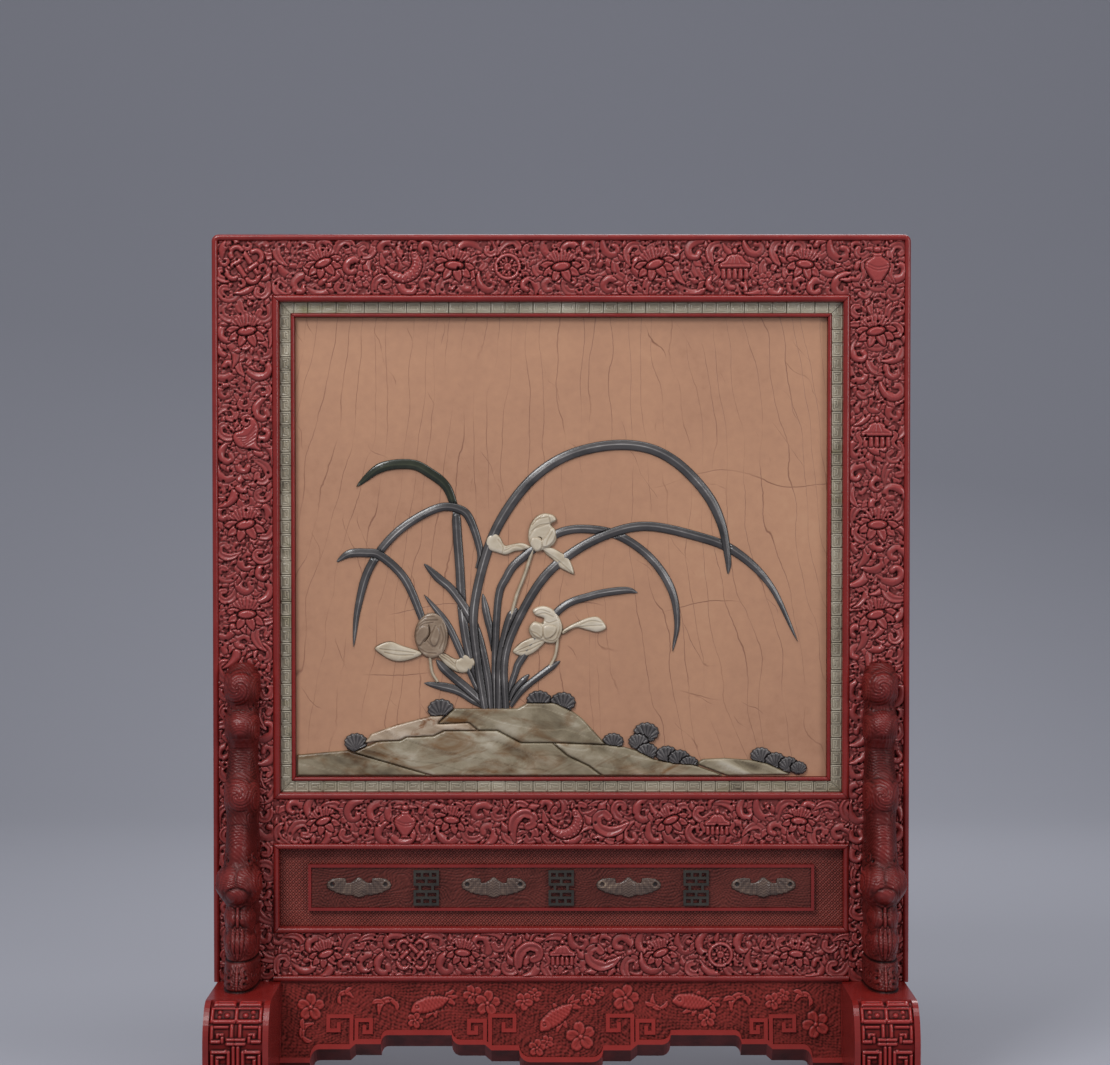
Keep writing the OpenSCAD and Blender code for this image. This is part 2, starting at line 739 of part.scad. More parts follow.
// Flowers: hood, left petal, right petal and stem, with the stem's half width
flowers = [
    [[[-23.6, 202], [-29.5, 211], [-29.3, 223], [-24, 232.6], [-16, 236.8], [-7, 235.3], [-3.8, 230], [-9, 226.6],
            [-5.1, 222], [-4, 214], [-7.6, 207.7], [-16, 203.5]],
        [[-27, 206], [-35, 210], [-44, 209], [-51, 208], [-55, 215], [-60, 219], [-66, 216], [-68, 210],
            [-66, 204], [-58, 201], [-50, 199], [-42, 202], [-35, 203]],
        [[-18, 206], [-10, 206], [-1, 202], [7, 196], [12, 182], [5, 184], [-2, 188], [-8, 195], [-14, 200]],
        [[-25, 206], [-33, 181], [-40, 163], [-46, 141]], 1.7],
    [[[-25.7, 149.5], [-17.2, 153], [-7.6, 150], [-1.3, 142], [1.5, 132], [-2.3, 122.1], [-8.7, 118.7], [-19.3, 121],
            [-26.6, 124.6], [-29.6, 132.5], [-24.6, 139], [-18, 137.6], [-16, 141.6], [-23.5, 144.2]],
        [[-13, 123], [-23, 125], [-33, 122], [-40, 117], [-44, 111], [-35, 107], [-27, 109], [-20, 114]],
        [[1, 131], [13, 138], [27, 143], [35, 142], [41, 133], [33, 129], [23, 131], [13, 133], [2, 127]],
        [[-3, 124], [-5, 109], [-10, 98]], 1.5],
    [[[-117, 147], [-106, 141], [-102, 126], [-106, 111], [-117, 105], [-128, 111], [-133, 126], [-128, 141]],
        [[-169, 115], [-156, 121], [-144, 117], [-128, 112], [-127, 108], [-140, 103], [-152, 103], [-162, 108]],
        [[-113, 110], [-105, 110], [-98, 106], [-93, 105], [-88, 109], [-80, 106], [-78, 100], [-83, 94],
            [-88, 92], [-95, 93], [-103, 98], [-109, 104]],
        [[-119, 107], [-117, 93], [-112, 84]], 1.5]];
petal_steps = 3;

// Outline of petal i of a flower; grown by moving each point away from the outline
module petal_shape(f, i, grow) {
    q = closed_curve(drawn_path(f[i]), petal_steps);
    m = len(q);
    turn = sign([for (k = 0, s = 0; k <= m; s = s + (k < m ? cross(q[k], q[(k + 1) % m]) : 0), k = k + 1) s][m]);
    polygon([for (k = [0:m - 1]) let (d = q[(k + 1) % m] - q[(k + m - 1) % m])
        q[k] + [d.y, -d.x] / norm(d) * grow * turn]);
}

module stem_shape(f, grow) {
    polygon(ribbon(f[3], f[4], grow, true));
}

module flower_shape(f, grow) {
    for (i = [0:2]) petal_shape(f, i, grow);
    stem_shape(f, grow);
}

// The hood lies over the petals, and the petals over the stem
module hood(f) {
    plate(ground_y, petal_t) petal_shape(f, 0, 0);
}

module petals(f) {
    for (i = [1, 2]) plate(ground_y, petal_t * 0.85) difference() {
        petal_shape(f, i, 0);
        petal_shape(f, 0, seam);
    }
    plate(ground_y, leaf_t) difference() {
        stem_shape(f, 0);
        for (i = [0:2]) petal_shape(f, i, seam);
    }
}

module upper_flower() {
    color(pale_jade) {
        hood(flowers[0]);
        petals(flowers[0]);
    }
}

module lower_flower() {
    color(pale_jade) {
        hood(flowers[1]);
        petals(flowers[1]);
    }
}

module brown_flower() {
    color(russet) hood(flowers[2]);
}

module brown_petals() {
    color(pale_jade) petals(flowers[2]);
}

// Rocks: neighbouring slabs share their edges
rocks = [
    [[-239, 18], [-193, 22], [-189, 20], [-117, -1], [-239, -1]],
    [[-189, 20], [-167, 30], [-146, 31], [-140, 34], [-116, 35], [-106, 40], [-58, 40], [-37, 29], [-8, 29], [6, 17],
        [25, 8], [37, -1], [-117, -1]],
    [[-97, 60], [-40, 60], [-31, 65], [-6, 65], [11, 57], [19, 51], [41, 27], [-8, 29], [-37, 29], [-58, 40],
        [-75, 40], [-84, 47], [-112, 46]],
    [[-179, 28], [-172, 37], [-150, 45], [-119, 53], [-105, 54], [-112, 46], [-84, 47], [-75, 40], [-106, 40],
        [-116, 35], [-140, 34], [-146, 31], [-167, 30]],
    [[-8, 29], [41, 27], [58, 25], [68, 22], [84, 14], [103, 10], [120, 9], [148, -1], [37, -1], [25, 8], [6, 17]],
    [[122, 10], [128, 14], [148, 15], [175, 13], [187, 10], [209, 0], [150, -1]]];

module rock_shape(i) {
    polygon(drawn_path(rocks[i]));
}

module rock(i) {
    tone = i == 3 ? pale_jade : i % 2 == 0 ? rock_green : russet;
    color(tone) plate(ground_y, rock_t) rock_shape(i);
}

// Moss tufts: middle, radius and spread of each fan
tufts = [[[-186, 29], 11], [[-109, 59], 12.5], [[-20, 67], 12], [[1.5, 65.5], 12], [[47, 30], 10], [[77, 38], 12],
    [[70, 30], 9.5], [[78, 21], 10], [[96, 18], 10.5], [[107, 14.5], 10.5], [[116, 10], 9], [[181, 17], 10],
    [[194, 12.5], 10], [[206, 9], 9.5], [[215, 6], 8]];
tuft_lobes = 13;

module tuft_shape(t) {
    translate(drawn_at(t[0])) polygon([for (a = [0:6:354]) t[1] * (0.9 + 0.1 * abs(cos(a * tuft_lobes / 2)))
        * [cos(a), 0.8 * sin(a)]]);
}

module moss_tufts() {
    color(leaf_green) for (i = [0:len(tufts) - 1]) plate(ground_y, leaf_t) difference() {
        tuft_shape(tufts[i]);
        for (r = [0:len(rocks) - 1]) rock_shape(r);
        for (j = [i + 1:1:len(tufts) - 1]) tuft_shape(tufts[j]);
        for (j = [0:len(leaves) - 1]) leaf_shape(j, seam);
    }
}

foot(-1);  // left_foot
foot(1);  // right_foot
post(-1);  // left_post
post(1);  // right_post
top_rail();
middle_rail();
lower_rail();
apron(false);  // front_apron
apron(true);  // back_apron
spandrel(-1, false);  // front_left_spandrel
spandrel(1, false);  // front_right_spandrel
spandrel(-1, true);  // back_left_spandrel
spandrel(1, true);  // back_right_spandrel
spandrel_dowels();
waist_panel();
waist_moulding();
waist_plaque();
bat(-3);  // bat_1
bat(-1);  // bat_2
bat(1);  // bat_3
bat(3);  // bat_4
fret_plaques();
picture_board();
picture_ground();
back_panel();
sight_moulding();
border(2);  // border_top
border(0);  // border_bottom
border(1);  // border_left
border(3);  // border_right
panel_fillet();
leaf(0);  // leaf_1
leaf(1);  // leaf_2
leaf(2);  // leaf_3
leaf(3);  // leaf_4
leaf(4);  // leaf_5
leaf(5);  // leaf_6
leaf(6);  // leaf_7
leaf(7);  // leaf_8
leaf(8);  // leaf_9
leaf(9);  // leaf_10
leaf(10);  // leaf_11
leaf(11);  // leaf_12
leaf(12);  // leaf_13
leaf(13);  // leaf_14
leaf(14);  // leaf_15
leaf(15);  // leaf_16
upper_flower();
lower_flower();
brown_flower();
brown_petals();
rock(0);  // rock_1
rock(1);  // rock_2
rock(2);  // rock_3
rock(3);  // rock_4
rock(4);  // rock_5
rock(5);  // rock_6
moss_tufts();
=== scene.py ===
import math
import random

import bmesh
import bpy
import numpy as np
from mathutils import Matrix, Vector


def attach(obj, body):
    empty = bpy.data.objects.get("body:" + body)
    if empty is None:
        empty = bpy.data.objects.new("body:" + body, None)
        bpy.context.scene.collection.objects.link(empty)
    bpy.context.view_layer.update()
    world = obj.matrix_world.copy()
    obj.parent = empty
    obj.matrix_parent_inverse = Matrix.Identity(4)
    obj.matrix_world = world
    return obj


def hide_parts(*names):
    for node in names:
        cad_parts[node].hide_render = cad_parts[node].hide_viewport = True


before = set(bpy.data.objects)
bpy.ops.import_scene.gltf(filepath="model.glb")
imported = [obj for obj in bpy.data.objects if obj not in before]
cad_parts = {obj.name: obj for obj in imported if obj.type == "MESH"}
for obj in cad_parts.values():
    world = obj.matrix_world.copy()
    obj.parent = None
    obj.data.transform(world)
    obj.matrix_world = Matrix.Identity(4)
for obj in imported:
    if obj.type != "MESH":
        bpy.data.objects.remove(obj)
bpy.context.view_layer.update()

mm = 0.001
print("frame loaded,", len(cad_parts), "nodes")


# Finishes

# Colour as read from the picture, 0 to 255, made linear
def shade(r, g, b):
    return tuple(c / 3294 if c < 10.4 else ((c / 255 + 0.055) / 1.055) ** 2.4 for c in (r, g, b))


# One finish under way: its nodes are put down and joined from here
class Finish:
    def __init__(self, name):
        self.material = bpy.data.materials.new(name)
        self.material.use_nodes = True
        self.tree = self.material.node_tree
        self.shader = self.tree.nodes["Principled BSDF"].inputs

    def put(self, kind, **values):
        node = self.tree.nodes.new("ShaderNode" + kind)
        for key, value in values.items():
            if key in node.inputs:
                node.inputs[key].default_value = value
            else:
                setattr(node, key, value)
        return node

    # An output is joined to the socket, and a plain value is set on it
    def feed(self, value, socket):
        if hasattr(value, "links"):
            self.tree.links.new(value, socket)
        else:
            socket.default_value = value

    def calc(self, operation, *values):
        node = self.put("Math", operation=operation)
        for k, value in enumerate(values):
            self.feed(value, node.inputs[k])
        return node.outputs[0]

    def ramp(self, level, stops):
        node = self.put("ValToRGB")
        steps = node.color_ramp.elements
        for step, (place, colour) in ((steps[0], stops[0]), (steps[1], stops[-1])):
            step.position = place
            step.color = (*shade(*colour), 1)
        for place, colour in stops[1:-1]:
            steps.new(place).color = (*shade(*colour), 1)
        self.feed(level, node.inputs[0])
        return node.outputs[0]

    # A level between start and end, made over to run from low to high
    def span(self, level, low, high, start=0.0, end=1.0):
        node = self.put("MapRange")
        for k, value in enumerate((level, start, end, low, high)):
            self.feed(value, node.inputs[k])
        return node.outputs[0]

    def blend(self, share, under, over, how="MIX"):
        node = self.put("Mix", data_type="RGBA", blend_type=how)
        for k, value in ((0, share), (6, under), (7, over)):
            self.feed(value, node.inputs[k])
        return node.outputs[2]

    def place(self):
        return self.put("TexCoord").outputs["Object"]

    def relief(self):
        return self.put("Attribute", attribute_name="relief").outputs["Fac"]

    # Noise on the piece's own coordinates; stretch squeezes it along an axis
    def cloud(self, scale, detail=4.0, stretch=(1, 1, 1), warp=0.0):
        turn = self.put("Mapping", Scale=stretch)
        noise = self.put("TexNoise", Scale=scale, Detail=detail, Roughness=0.6, Distortion=warp)
        self.feed(self.place(), turn.inputs[0])
        self.feed(turn.outputs[0], noise.inputs["Vector"])
        return noise.outputs[0]

    def bump(self, height, strength, distance):
        node = self.put("Bump", Strength=strength, Distance=distance)
        self.feed(height, node.inputs["Height"])
        self.feed(node.outputs[0], self.shader["Normal"])


# Stops run from the painted shade at the bottom of the cuts to the painted highlight on the proud edges;
# rough and gleam likewise
lacquers = {
    "carvedLacquer": {"stops": [(0.05, (36, 9, 8)), (0.17, (96, 39, 38)), (0.33, (132, 58, 56)),
                                (0.5, (136, 51, 49)), (0.74, (147, 58, 56)), (1, (180, 96, 94))],
                      "rough": (0.55, 0.13), "gleam": (0.04, 0.8), "relief": 0.95, "mottle": 0.2,
                      "grain": 0.14},
    "mouldingLacquer": {"stops": [(0.1, (100, 22, 20)), (0.5, (122, 30, 27)), (0.95, (138, 44, 40))],
                        "rough": (0.3, 0.16), "gleam": (0.45, 0.5), "relief": 0, "mottle": 0.9,
                        "grain": 0.12},
    # The beasts' lacquer is the carved lacquer made darker, as painted shade
    "beastLacquer": {"stops": [(0.06, (26, 7, 6)), (0.3, (80, 22, 19)), (0.6, (108, 31, 28)),
                               (1, (136, 50, 45))],
                     "rough": (0.5, 0.22), "gleam": (0.1, 0.5), "relief": 0.95, "mottle": 0.55, "grain": 0.3,
                     "hair": 130},
    "footLacquer": {"stops": [(0.06, (40, 8, 7)), (0.25, (98, 20, 18)), (0.6, (132, 30, 28)),
                              (1, (150, 46, 43))],
                    "rough": (0.5, 0.18), "gleam": (0.05, 0.5), "relief": 0.95, "mottle": 0.25,
                    "grain": 0.12},
    "apronLacquer": {"stops": [(0.04, (56, 16, 13)), (0.2, (106, 34, 29)), (0.45, (140, 44, 39)),
                               (0.75, (152, 50, 45)), (1, (170, 64, 58))],
                     "rough": (0.55, 0.3), "gleam": (0.08, 0.45), "relief": 0.95, "mottle": 0.3,
                     "grain": 0.18},
    "waistLacquer": {"stops": [(0.04, (48, 19, 15)), (0.4, (102, 43, 35)), (0.75, (126, 52, 43)),
                               (1, (144, 66, 55))],
                     "rough": (0.6, 0.4), "gleam": (0.15, 0.45), "relief": 0.9, "mottle": 0.5, "grain": 0.2},
    "plaqueLacquer": {"stops": [(0.04, (60, 23, 18)), (0.45, (98, 41, 33)), (0.75, (113, 46, 38)),
                                (1, (128, 58, 49))],
                      "rough": (0.5, 0.3), "gleam": (0.2, 0.5), "relief": 0.55, "mottle": 0.6, "grain": 0.2},
    "lipLacquer": {"stops": [(0.08, (66, 16, 13)), (0.45, (136, 36, 31)), (0.95, (156, 50, 44))],
                   "rough": (0.4, 0.18), "gleam": (0.25, 0.5), "relief": 0, "mottle": 0.5, "grain": 0.12,
                   "under": 0.5},
    "darkLacquer": {"stops": [(0.1, (36, 16, 14)), (0.6, (54, 24, 21)), (0.95, (70, 34, 30))],
                    "rough": (0.5, 0.34), "gleam": (0.3, 0.45), "relief": 0, "mottle": 1, "grain": 0.14},
}


def makeLacquer(name, tone):
    finish = Finish(name)
    level = finish.calc("MULTIPLY_ADD", finish.cloud(45, 5), tone["mottle"], -0.5 * tone["mottle"])
    # The relief level paints shade into the cuts and highlight onto the proud edges
    if tone["relief"]:
        level = finish.calc("MULTIPLY_ADD", finish.relief(), tone["relief"], level)
    else:
        level = finish.calc("ADD", level, 0.5)
    # Painted shade: faces that look down are darkened in the colour
    if "under" in tone:  # faces that look down are left darker
        facing = finish.put("SeparateXYZ")
        finish.feed(finish.put("NewGeometry").outputs["Normal"], facing.inputs[0])
        down = finish.calc("MINIMUM", facing.outputs[2], 0.0)
        level = finish.calc("MULTIPLY_ADD", down, tone["under"], level)
    finish.feed(finish.ramp(level, tone["stops"]), finish.shader["Base Color"])
    finish.feed(finish.span(level, *tone["rough"]), finish.shader["Roughness"])
    finish.feed(finish.span(level, *tone["gleam"]), finish.shader["Specular IOR Level"])
    skin = finish.cloud(700, 3)
    if "hair" in tone:
        curls = {"Scale": tone["hair"], "Distortion": 26, "Detail": 1, "Detail Scale": 0.24}
        wave = finish.put("TexWave", bands_direction="DIAGONAL", **curls)
        finish.feed(finish.place(), wave.inputs["Vector"])
        skin = finish.calc("MULTIPLY_ADD", wave.outputs["Fac"], 1.4, skin)
    finish.bump(skin, tone["grain"], 0.0006)
    return finish.material


stones = {
    "celadonStone": {"stops": [(0.06, (74, 68, 54)), (0.3, (128, 119, 101)), (0.55, (154, 144, 124)),
                               (0.9, (182, 174, 155))],
                     "scale": 34, "rough": (0.38, 0.2), "relief": 0.5, "grain": 0.1,
                     "patch": {"scale": 16, "low": 0.58, "high": 0.74, "colour": (134, 134, 112)}},
    # The lightest leaf stop is the painted highlight along the crest
    "leafStone": {"stops": [(0.2, (44, 43, 43)), (0.42, (69, 66, 66)), (0.6, (88, 84, 83)),
                            (0.78, (124, 120, 118)), (0.95, (194, 190, 187))],
                  "scale": 22, "rough": (0.28, 0.14), "relief": 0.62, "grain": 0.06},
    "darkLeafStone": {"stops": [(0.2, (20, 24, 16)), (0.5, (34, 38, 27)), (0.9, (62, 65, 50))],
                      "scale": 22, "rough": (0.24, 0.12), "relief": 0.45, "grain": 0.05},
    "fretStone": {"stops": [(0.2, (30, 27, 24)), (0.6, (52, 48, 42)), (0.9, (76, 71, 62))],
                  "scale": 80, "rough": (0.42, 0.25), "relief": 0, "grain": 0.14},
    "batStone": {"stops": [(0.12, (32, 24, 21)), (0.45, (75, 59, 52)), (0.7, (100, 81, 70)),
                           (0.95, (158, 138, 116))],
                 "scale": 80, "rough": (0.42, 0.22), "relief": 0.6, "grain": 0.2},
    "creamStone": {"stops": [(0.16, (70, 52, 38)), (0.34, (160, 143, 119)), (0.58, (187, 174, 153)),
                             (0.9, (213, 203, 187))],
                   "scale": 34, "rough": (0.34, 0.2), "relief": 0.6, "grain": 0.06},
    "veinedStone": {"stops": [(0.12, (68, 51, 38)), (0.36, (144, 122, 99)), (0.58, (173, 154, 133)),
                              (0.9, (202, 188, 171))],
                    "scale": 46, "rough": (0.34, 0.2), "relief": 0.55, "grain": 0.08,
                    "patch": {"scale": 60, "low": 0.54, "high": 0.64, "colour": (122, 92, 66)}},
    "russetStone": {"stops": [(0.12, (50, 36, 26)), (0.34, (112, 92, 74)), (0.58, (140, 120, 101)),
                              (0.9, (188, 173, 154))],
                    "scale": 45, "rough": (0.34, 0.18), "relief": 0.6, "grain": 0.08},
    "rockStone": {"stops": [(0.12, (44, 38, 28)), (0.32, (103, 91, 71)), (0.46, (127, 115, 93)),
                            (0.58, (147, 135, 113)), (0.74, (171, 161, 142)), (0.9, (190, 182, 167))],
                  "scale": 30, "rough": (0.36, 0.2), "relief": 0.5, "grain": 0.1,
                  "patch": {"scale": 26, "low": 0.47, "high": 0.66, "colour": (122, 90, 54)}},
    "mossStone": {"stops": [(0.1, (32, 31, 31)), (0.4, (62, 58, 58)), (0.66, (85, 80, 79)),
                            (0.95, (124, 119, 115))],
                  "scale": 70, "rough": (0.4, 0.22), "relief": 0.75, "grain": 0.1},
}
patchLight = 2.6  # how much a patch colour is lightened before it tints the stone


# Polished stone; the relief level adds painted shade in cuts and painted highlight on crests to the stone's
# own marks, and a patch lays a second colour in blots
def makeStone(name, tone):
    finish = Finish(name)
    level = finish.cloud(tone["scale"], 6, (0.7, 1, 1.2), 0.9)
    if tone["relief"]:
        lift = finish.calc("SUBTRACT", finish.relief(), 0.5)
        level = finish.calc("MULTIPLY_ADD", lift, tone["relief"], level)
    colour = finish.ramp(level, tone["stops"])
    if "patch" in tone:
        patch = tone["patch"]
        blot = finish.cloud(patch["scale"], 7, (0.6, 1, 1.3), 1.6)
        blot = finish.span(blot, 0, 1, patch["low"], patch["high"])
        stain = (*(min(1, c * patchLight) for c in shade(*patch["colour"])), 1)
        colour = finish.blend(blot, colour, stain, "MULTIPLY")
    finish.feed(colour, finish.shader["Base Color"])
    finish.feed(finish.span(level, *tone["rough"]), finish.shader["Roughness"])
    finish.bump(finish.cloud(420, 4), tone["grain"], 0.0008)
    return finish.material


ochreTone = {"stops": [(0.25, (150, 107, 81)), (0.45, (169, 125, 98)), (0.58, (177, 132, 103)),
                       (0.8, (187, 145, 114))],
             "crackDark": (112, 70, 51), "fan": 0.9, "cracks": [
                 {"lean": (1, 0), "every": 62, "wide": 0.03, "sway": 3.6, "stretch": (1.7, 1, 0.6),
                  "ripple": 0.17, "patch": 13, "where": (0.38, 0.58)},
                 {"lean": (0.9, 0.42), "every": 36, "wide": 0.02, "sway": 3.5, "stretch": (1.2, 1, 1.1),
                  "ripple": 0.14, "patch": 21, "where": (0.55, 0.66)},
                 {"lean": (0, 1), "every": 8, "wide": 0.005, "sway": 0.7, "stretch": (0.5, 1, 0.8),
                  "ripple": 0.014, "patch": 5, "where": (0.54, 0.6)}]}


# Aged lacquer ground: wandering upright cracks, some at a slant, a few across, and a soft mottle
def makeOchre(name, tone):
    finish = Finish(name)
    axes = finish.put("SeparateXYZ")
    finish.feed(finish.place(), axes.inputs[0])
    x, z = axes.outputs[0], axes.outputs[2]
    x = finish.calc("MULTIPLY", x, finish.calc("MULTIPLY_ADD", z, tone["fan"], 1 - 0.5 * tone["fan"]))
    crack = None
    for split in tone["cracks"]:
        drift = finish.calc("MULTIPLY", finish.cloud(9, 2, split["stretch"]), split["sway"])
        drift = finish.calc("MULTIPLY_ADD", finish.cloud(70, 2), split["ripple"], drift)
        reach = finish.calc("MULTIPLY", x, split["lean"][0])
        reach = finish.calc("MULTIPLY_ADD", z, split["lean"][1], reach)
        cells = finish.put("TexVoronoi", voronoi_dimensions="1D", feature="DISTANCE_TO_EDGE", Scale=1.0)
        finish.feed(finish.calc("MULTIPLY_ADD", reach, split["every"], drift), cells.inputs["W"])
        line = finish.span(cells.outputs["Distance"], 1, 0, 0, split["wide"])
        where = finish.span(finish.cloud(split["patch"], 3), 0, 1, *split["where"])
        mark = finish.calc("MULTIPLY", line, where)
        crack = mark if crack is None else finish.calc("MAXIMUM", crack, mark)
    broad = finish.calc("MULTIPLY", finish.cloud(5, 5), 0.7)
    soft = finish.calc("MULTIPLY_ADD", finish.cloud(120, 6), 0.3, broad)
    depth = finish.calc("MULTIPLY", crack, 0.85)
    colour = finish.blend(depth, finish.ramp(soft, tone["stops"]), (*shade(*tone["crackDark"]), 1))
    finish.feed(colour, finish.shader["Base Color"])
    finish.feed(finish.span(soft, 0.5, 0.36), finish.shader["Roughness"])
    finish.bump(finish.calc("SUBTRACT", finish.calc("MULTIPLY", soft, 0.3), crack), 0.3, 0.0006)
    return finish.material


woods = {"boardWood": [(0.2, (96, 66, 44)), (0.8, (138, 102, 70))],
         "bambooWood": [(0.2, (150, 124, 78)), (0.8, (190, 166, 112))]}


def makeWood(name, stops):
    finish = Finish(name)
    streak = finish.cloud(60, 5, (1, 1, 0.08))
    finish.feed(finish.ramp(streak, stops), finish.shader["Base Color"])
    finish.feed(finish.span(streak, 0.65, 0.5), finish.shader["Roughness"])
    finish.bump(streak, 0.2, 0.0005)
    return finish.material


finishes = {name: makeLacquer(name, tone) for name, tone in lacquers.items()}
finishes.update({name: makeStone(name, tone) for name, tone in stones.items()})
finishes.update({name: makeWood(name, stops) for name, stops in woods.items()})
finishes["ochreGround"] = makeOchre("ochreGround", ochreTone)
print("finishes made:", len(finishes))


# Mesh helpers

# A grid laid on rows of points in millimetres, with an optional relief; gives the cell of each vertex
def addGrid(bm, points, relief=None):
    rows, cols = points.shape[:2]
    layer = bm.verts.layers.float.get("relief") or bm.verts.layers.float.new("relief")
    flat = points * mm
    cell = {}
    for v in bmesh.ops.create_grid(bm, x_segments=cols - 1, y_segments=rows - 1, size=1.0)["verts"]:
        j = int(round((v.co.y + 1) / 2 * (rows - 1)))
        i = int(round((v.co.x + 1) / 2 * (cols - 1)))
        v.co = flat[j, i]
        if relief is not None:
            v[layer] = relief[j, i]
        cell[v] = (j, i)
    return cell


# Turns a mesh under way into a finished piece on the one body
def makePiece(bm, name, finish, slot, *nodes, sharp=None):
    bmesh.ops.recalc_face_normals(bm, faces=bm.faces[:])
    if bm.calc_volume(signed=True) < 0:  # a thin, bent piece can come out of it facing inward
        bmesh.ops.reverse_faces(bm, faces=bm.faces[:])
    mesh = bpy.data.meshes.new(name)
    bm.to_mesh(mesh)
    bm.free()
    mesh.polygons.foreach_set("use_smooth", [True] * len(mesh.polygons))
    if sharp:
        mesh.set_sharp_from_angle(angle=math.radians(sharp))
    mesh.materials.append(finishes[finish])
    piece = bpy.data.objects.new(name, mesh)
    bpy.context.scene.collection.objects.link(piece)
    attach(piece, "root")
    if nodes:
        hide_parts(*nodes)
    return piece


def closeHoles(bm):
    bmesh.ops.holes_fill(bm, edges=[e for e in bm.edges if e.is_boundary], sides=0)


# Walls from an open rim straight back to y, closed behind
def dropRim(bm, rim, y):
    grown = bmesh.ops.extrude_edge_only(bm, edges=rim)["geom"]
    for v in grown:
        if isinstance(v, bmesh.types.BMVert):
            v.co.y = y * mm
    lower = [e for e in grown if isinstance(e, bmesh.types.BMEdge) and e.is_boundary]
    bmesh.ops.holes_fill(bm, edges=lower, sides=0)


# A carved slab: the height field laid out by place(x, z, height), with sides down to the bottom
def carvedSlab(name, f, place, bottom, finish, slot, *nodes):
    x, z, h = (np.pad(f[key], 1, "edge") for key in ("x", "z", "h"))
    low = np.pad(np.zeros_like(f["h"], bool), 1, constant_values=True)
    bm = bmesh.new()
    addGrid(bm, np.dstack(place(x, z, np.where(low, bottom, h))), np.pad(reliefOf(f), 1, "edge"))
    closeHoles(bm)
    return makePiece(bm, name, finish, slot, *nodes)


# Evens out a field a little with each pass
def soften(h, passes):
    for _ in range(passes):
        p = np.pad(h, 1, "edge")
        h = 0.5 * h + 0.125 * (p[:-2, 1:-1] + p[2:, 1:-1] + p[1:-1, :-2] + p[1:-1, 2:])
    return h


# How open each point lies, for painted shade and highlight: 0 in a deep cut, painted darkest, 1 on a proud
# edge, painted lightest
def reliefOf(f):
    h = f["h"]
    top = max(h.max(), 0.01)
    proud = 0.4 * (h - soften(h, 14)) / (0.3 * top)
    return np.clip(0.4 * np.clip(h / top, 0, 1) + proud + 0.26 + f.get("tone", 0), 0, 1)


# Distances to an outline for arrays of x and z, and which points lie inside it
def outlineReach(outline, x, z):
    near = np.full(x.shape, 1e9)
    inside = np.zeros(x.shape, bool)
    nearX, nearZ = np.zeros_like(x), np.zeros_like(z)
    for a, b in zip(outline, np.roll(outline, -1, 0)):
        d = b - a
        t = np.clip(((x - a[0]) * d[0] + (z - a[1]) * d[1]) / max(d @ d, 1e-9), 0, 1)
        px, pz = a[0] + t * d[0], a[1] + t * d[1]
        dist = np.hypot(x - px, z - pz)
        closer = dist < near
        near = np.where(closer, dist, near)
        nearX, nearZ = np.where(closer, px, nearX), np.where(closer, pz, nearZ)
        if a[1] != b[1]:
            inside ^= ((a[1] > z) != (b[1] > z)) & (x < d[0] * (z - a[1]) / d[1] + a[0])
    return near, inside, nearX, nearZ


# A stone cut to an outline: grid trimmed and drawn to the line, raised by rise(x, z, distance from the edge)
def cutSlab(bm, outline, pitch, rise, frontY, backY):
    outline = np.asarray(outline, float)
    lo, hi = outline.min(0) - pitch, outline.max(0) + pitch
    cols, rows = (int(math.ceil(v / pitch)) + 1 for v in hi - lo)
    x, z = np.meshgrid(lo[0] + pitch * np.arange(cols), lo[1] + pitch * np.arange(rows))
    near, inside, nearX, nearZ = outlineReach(outline, x, z)
    cell = addGrid(bm, np.dstack([x, 0 * x, z]))
    layer = bm.verts.layers.float["relief"]
    outside = [v for v, at in cell.items() if not inside[at] and near[at] > 0.35 * pitch]
    bmesh.ops.delete(bm, geom=outside, context="VERTS")
    loose = [v for v in cell if v.is_valid and not v.link_faces]
    bmesh.ops.delete(bm, geom=loose, context="VERTS")
    made = [(v, at) for v, at in cell.items() if v.is_valid]
    own = set(v for v, at in made)
    rim = [e for e in bm.edges if e.is_boundary and e.verts[0] in own]
    edge = set(v for e in rim for v in e.verts)
    px = np.array([(nearX if v in edge else x)[at] for v, at in made])
    pz = np.array([(nearZ if v in edge else z)[at] for v, at in made])
    away = np.array([0.0 if v in edge else near[at] for v, at in made])
    height, relief = rise(px, pz, away)
    for (v, at), a, b, h, r in zip(made, px, pz, height, relief):
        v.co = (a * mm, (frontY - h) * mm, b * mm)
        v[layer] = r
    dropRim(bm, rim, backY)


# Curves

# Smooth curve through points, with steps between each two
def smoothLine(pts, steps=5):
    pts = np.asarray(pts, float)
    p = np.vstack([2 * pts[0] - pts[1], pts, 2 * pts[-1] - pts[-2]])
    return np.vstack([curveSpan(p[i - 1:i + 3], steps) for i in range(1, len(p) - 2)] + [p[-2]])


def smoothLoop(pts, steps=4):
    p = np.asarray(pts, float)
    spans = [np.array([p[i - 1], p[i], p[(i + 1) % len(p)], p[(i + 2) % len(p)]]) for i in range(len(p))]
    return np.vstack([curveSpan(span, steps) for span in spans])


# Catmull-Rom span between the middle two of four points
def curveSpan(q, steps):
    t = np.arange(steps)[:, None] / steps
    bend = 2 * q[0] - 5 * q[1] + 4 * q[2] - q[3]
    twist = 3 * q[1] - q[0] - 3 * q[2] + q[3]
    return 0.5 * (2 * q[1] + (q[2] - q[0]) * t + bend * t ** 2 + twist * t ** 3)


